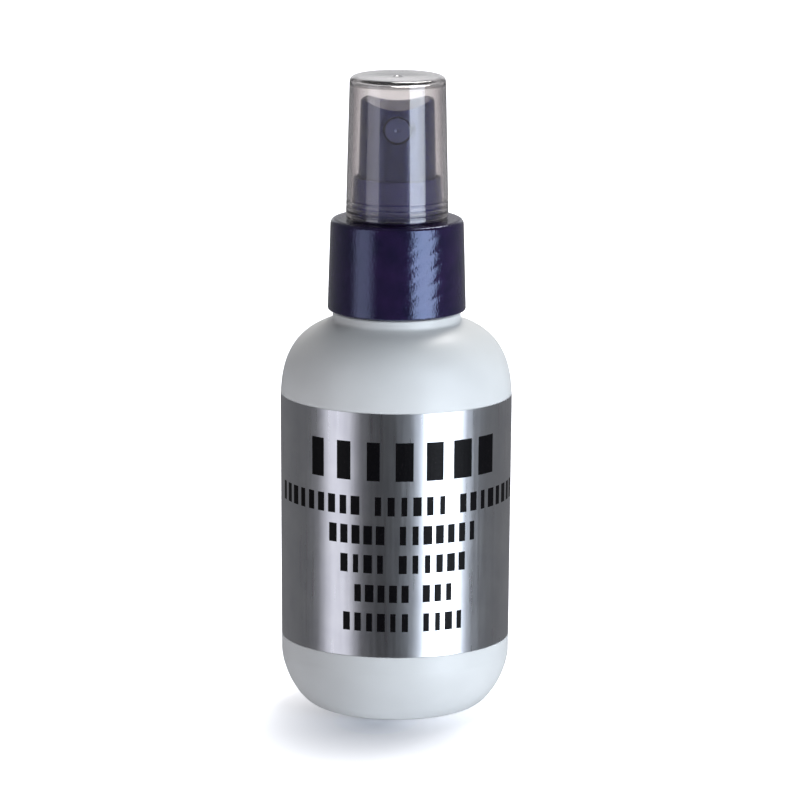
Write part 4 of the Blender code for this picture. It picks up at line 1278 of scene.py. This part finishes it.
# %% Stem, valve, piston and ball
STEM_BORE = 1.4
VALVE_RADIUS, VALVE_THICKNESS, PIN_RADIUS = 3.1, 1.6, 1.4
LIP, PISTON_WEB, SEAL_GAP = 0.6, 1.2, 0.15
_, stem_low, stem_high = measured("upper_stem")
stem = moulded("stem_tube", natural, [
    (STEM_BORE, stem_low + 1.0),
    (STEM_BORE, stem_low, 0.1),
    (STEM_RADIUS, stem_low, 0.2),
    (STEM_RADIUS, stem_high, 0.25),
    (STEM_BORE, stem_high, 0.15),
    (STEM_BORE, stem_low + 1.01),
])
_, valve_pin_low, shaft_high = measured("lower_stem")
valve_high = piston_low - GAP
valve_low = valve_high - VALVE_THICKNESS
shaft_radius = STEM_BORE - GAP
valve = moulded("valve_stem", natural, [
    (0.0, valve_pin_low),
    (PIN_RADIUS, valve_pin_low, 0.4),
    (PIN_RADIUS, valve_low, 0.2),
    (VALVE_RADIUS, valve_low, 0.3),
    (VALVE_RADIUS, valve_high - VALVE_THICKNESS / 2, 0.2),
    (shaft_radius + GAP, valve_high, 0.2),
    (shaft_radius, valve_high + GAP, 0.1),
    (shaft_radius, shaft_high, 0.3),
    (0.0, shaft_high),
])
piston_radius = BARREL_BORE - SEAL_GAP
piston_middle = (piston_low + piston_high) / 2
sleeve = STEM_BORE + LIP
lip_inside = piston_radius - LIP
piston = moulded("piston_seal", natural, [
    (STEM_BORE, piston_low + 1.0),
    (STEM_BORE, piston_low, 0.1),
    (sleeve, piston_low, 0.15),
    (sleeve, piston_middle - PISTON_WEB / 2, 0.4),
    (lip_inside, piston_middle - PISTON_WEB / 2, 0.4),
    (lip_inside, piston_low + GAP, 0.15),
    (piston_radius, piston_low + GAP, 0.15),
    (piston_radius - GAP, piston_middle, 1.0),
    (piston_radius, piston_high, 0.15),
    (lip_inside, piston_high, 0.15),
    (lip_inside, piston_middle + PISTON_WEB / 2, 0.4),
    (sleeve, piston_middle + PISTON_WEB / 2, 0.4),
    (sleeve, piston_high, 0.15),
    (STEM_BORE, piston_high, 0.1),
    (STEM_BORE, piston_low + 1.01),
])
ball_z = (ball_low + ball_high) / 2
ball_outline = [
    (ball_radius * math.sin(math.pi * step / 32), ball_z - ball_radius * math.cos(math.pi * step / 32))
    for step in range(33)
]
ball_outline[0] = (0.0, ball_z - ball_radius)
ball_outline[-1] = (0.0, ball_z + ball_radius)
ball = turned("steel_ball", steel, ball_outline, 64)
for piece in (gasket, housing, plug, stem, valve, piston):
    even_shading(piece)
print("stem %.1f mm long, ball %.1f mm across" % (stem_high - stem_low, 2 * ball_radius))

# %% [markdown]
# ## The return spring
# A compression spring is a wire on a helix whose last turn at each end lies almost flat. A tree draws
# the helix point by point and sweeps a circle along it. Its ends are capped, as cut wire is. The share
# of its height that it keeps when the pump is pressed is worked out, but the mesh is not squeezed.


# %% A tree for a coil of wire
def coil_tree():
    tree, given = new_tree(
        "wire_coil", coil_radius=2.35, wire_radius=0.3, turns=6.5, low=76.0, high=92.0, steps=420
    )
    low, high, wire = given["low"], given["high"], given["wire_radius"]
    line = add(tree, "GeometryNodeMeshLine", {"Count": given["steps"]}).outputs[0]
    share = index_of(tree) / (given["steps"] - 1.0)
    climb = share * 0.55 + between(tree, share, 0.0, 1.0, 0.0, 1.0, smooth=True) * 0.45
    turn = share * given["turns"] * (2 * math.pi)
    height = low + wire + climb * (high - low - wire * 2.0)
    helix = moved(tree, line, given["coil_radius"], turn, height)
    curve = add(tree, "GeometryNodeMeshToCurve", {"Mesh": helix}).outputs[0]
    section = {"Resolution": 14, "Radius": wire * MM}
    section = add(tree, "GeometryNodeCurvePrimitiveCircle", section).outputs[0]
    drawn = {"Curve": curve, "Profile Curve": section, "Fill Caps": True}
    drawn = add(tree, "GeometryNodeCurveToMesh", drawn).outputs[0]
    return finish_tree(tree, drawn, given)


# %% The spring
SPRING_WIRE, SPRING_TURNS = 0.3, 6.5
spring_outer, spring_low, spring_high = measured("return_spring")
spring = grow(
    "coil_spring", coil_tree(), steel,
    coil_radius=spring_outer - SPRING_WIRE, wire_radius=SPRING_WIRE, turns=SPRING_TURNS, low=spring_low,
    high=spring_high,
)
spring = facing_out(spring)
print("spring %.1f mm long" % (spring_high - spring_low))

# %% [markdown]
# ## Riding on the frame
# Each new piece rides on the body of the node that it stands for and hides that node. The table also
# lists the slot of the record that its finish belongs to, though nothing here reads it. From here on
# nothing changes a mesh.

# %% Which piece stands for which node
STANDS_FOR = (
    (bottle, "bottle", "bottle_polyethylene"),
    (label, "label", "metallised_film"),
    (collar, "collar", "navy_polypropylene"),
    (cover, "overcap", "smoky_clear_plastic"),
    (actuator, "actuator", "navy_polypropylene"),
    (nozzle, "nozzle_insert", "navy_polypropylene"),
    (gasket, "neck_gasket", "gasket_foam"),
    (housing, "pump_housing", "natural_polypropylene"),
    (plug, "housing_cap", "natural_polypropylene"),
    (tube, "dip_tube", "natural_polypropylene"),
    (stem, "upper_stem", "natural_polypropylene"),
    (valve, "lower_stem", "natural_polypropylene"),
    (piston, "piston", "natural_polypropylene"),
    (ball, "check_ball", "stainless_steel"),
    (spring, "return_spring", "stainless_steel"),
)
body_of = {}
for body, members in frame["record"]["behaviour"]["bodies"].items():
    for node_name in members:
        body_of[node_name] = body
for piece, node_name, slot_name in STANDS_FOR:
    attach(piece, body_of[node_name])
    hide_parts(node_name)
for piece in printed:
    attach(piece, body_of["label"])

# %% How much of its height the spring keeps at full stroke
stroke = next(joint["range_m"][1] for joint in frame["joints"] if joint["name"] == "pump_press")
spring_left = 1 - stroke / ((spring_high - spring_low) * MM)
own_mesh(spring)
print("pressed, the spring keeps %.0f%% of its height" % (100 * spring_left))
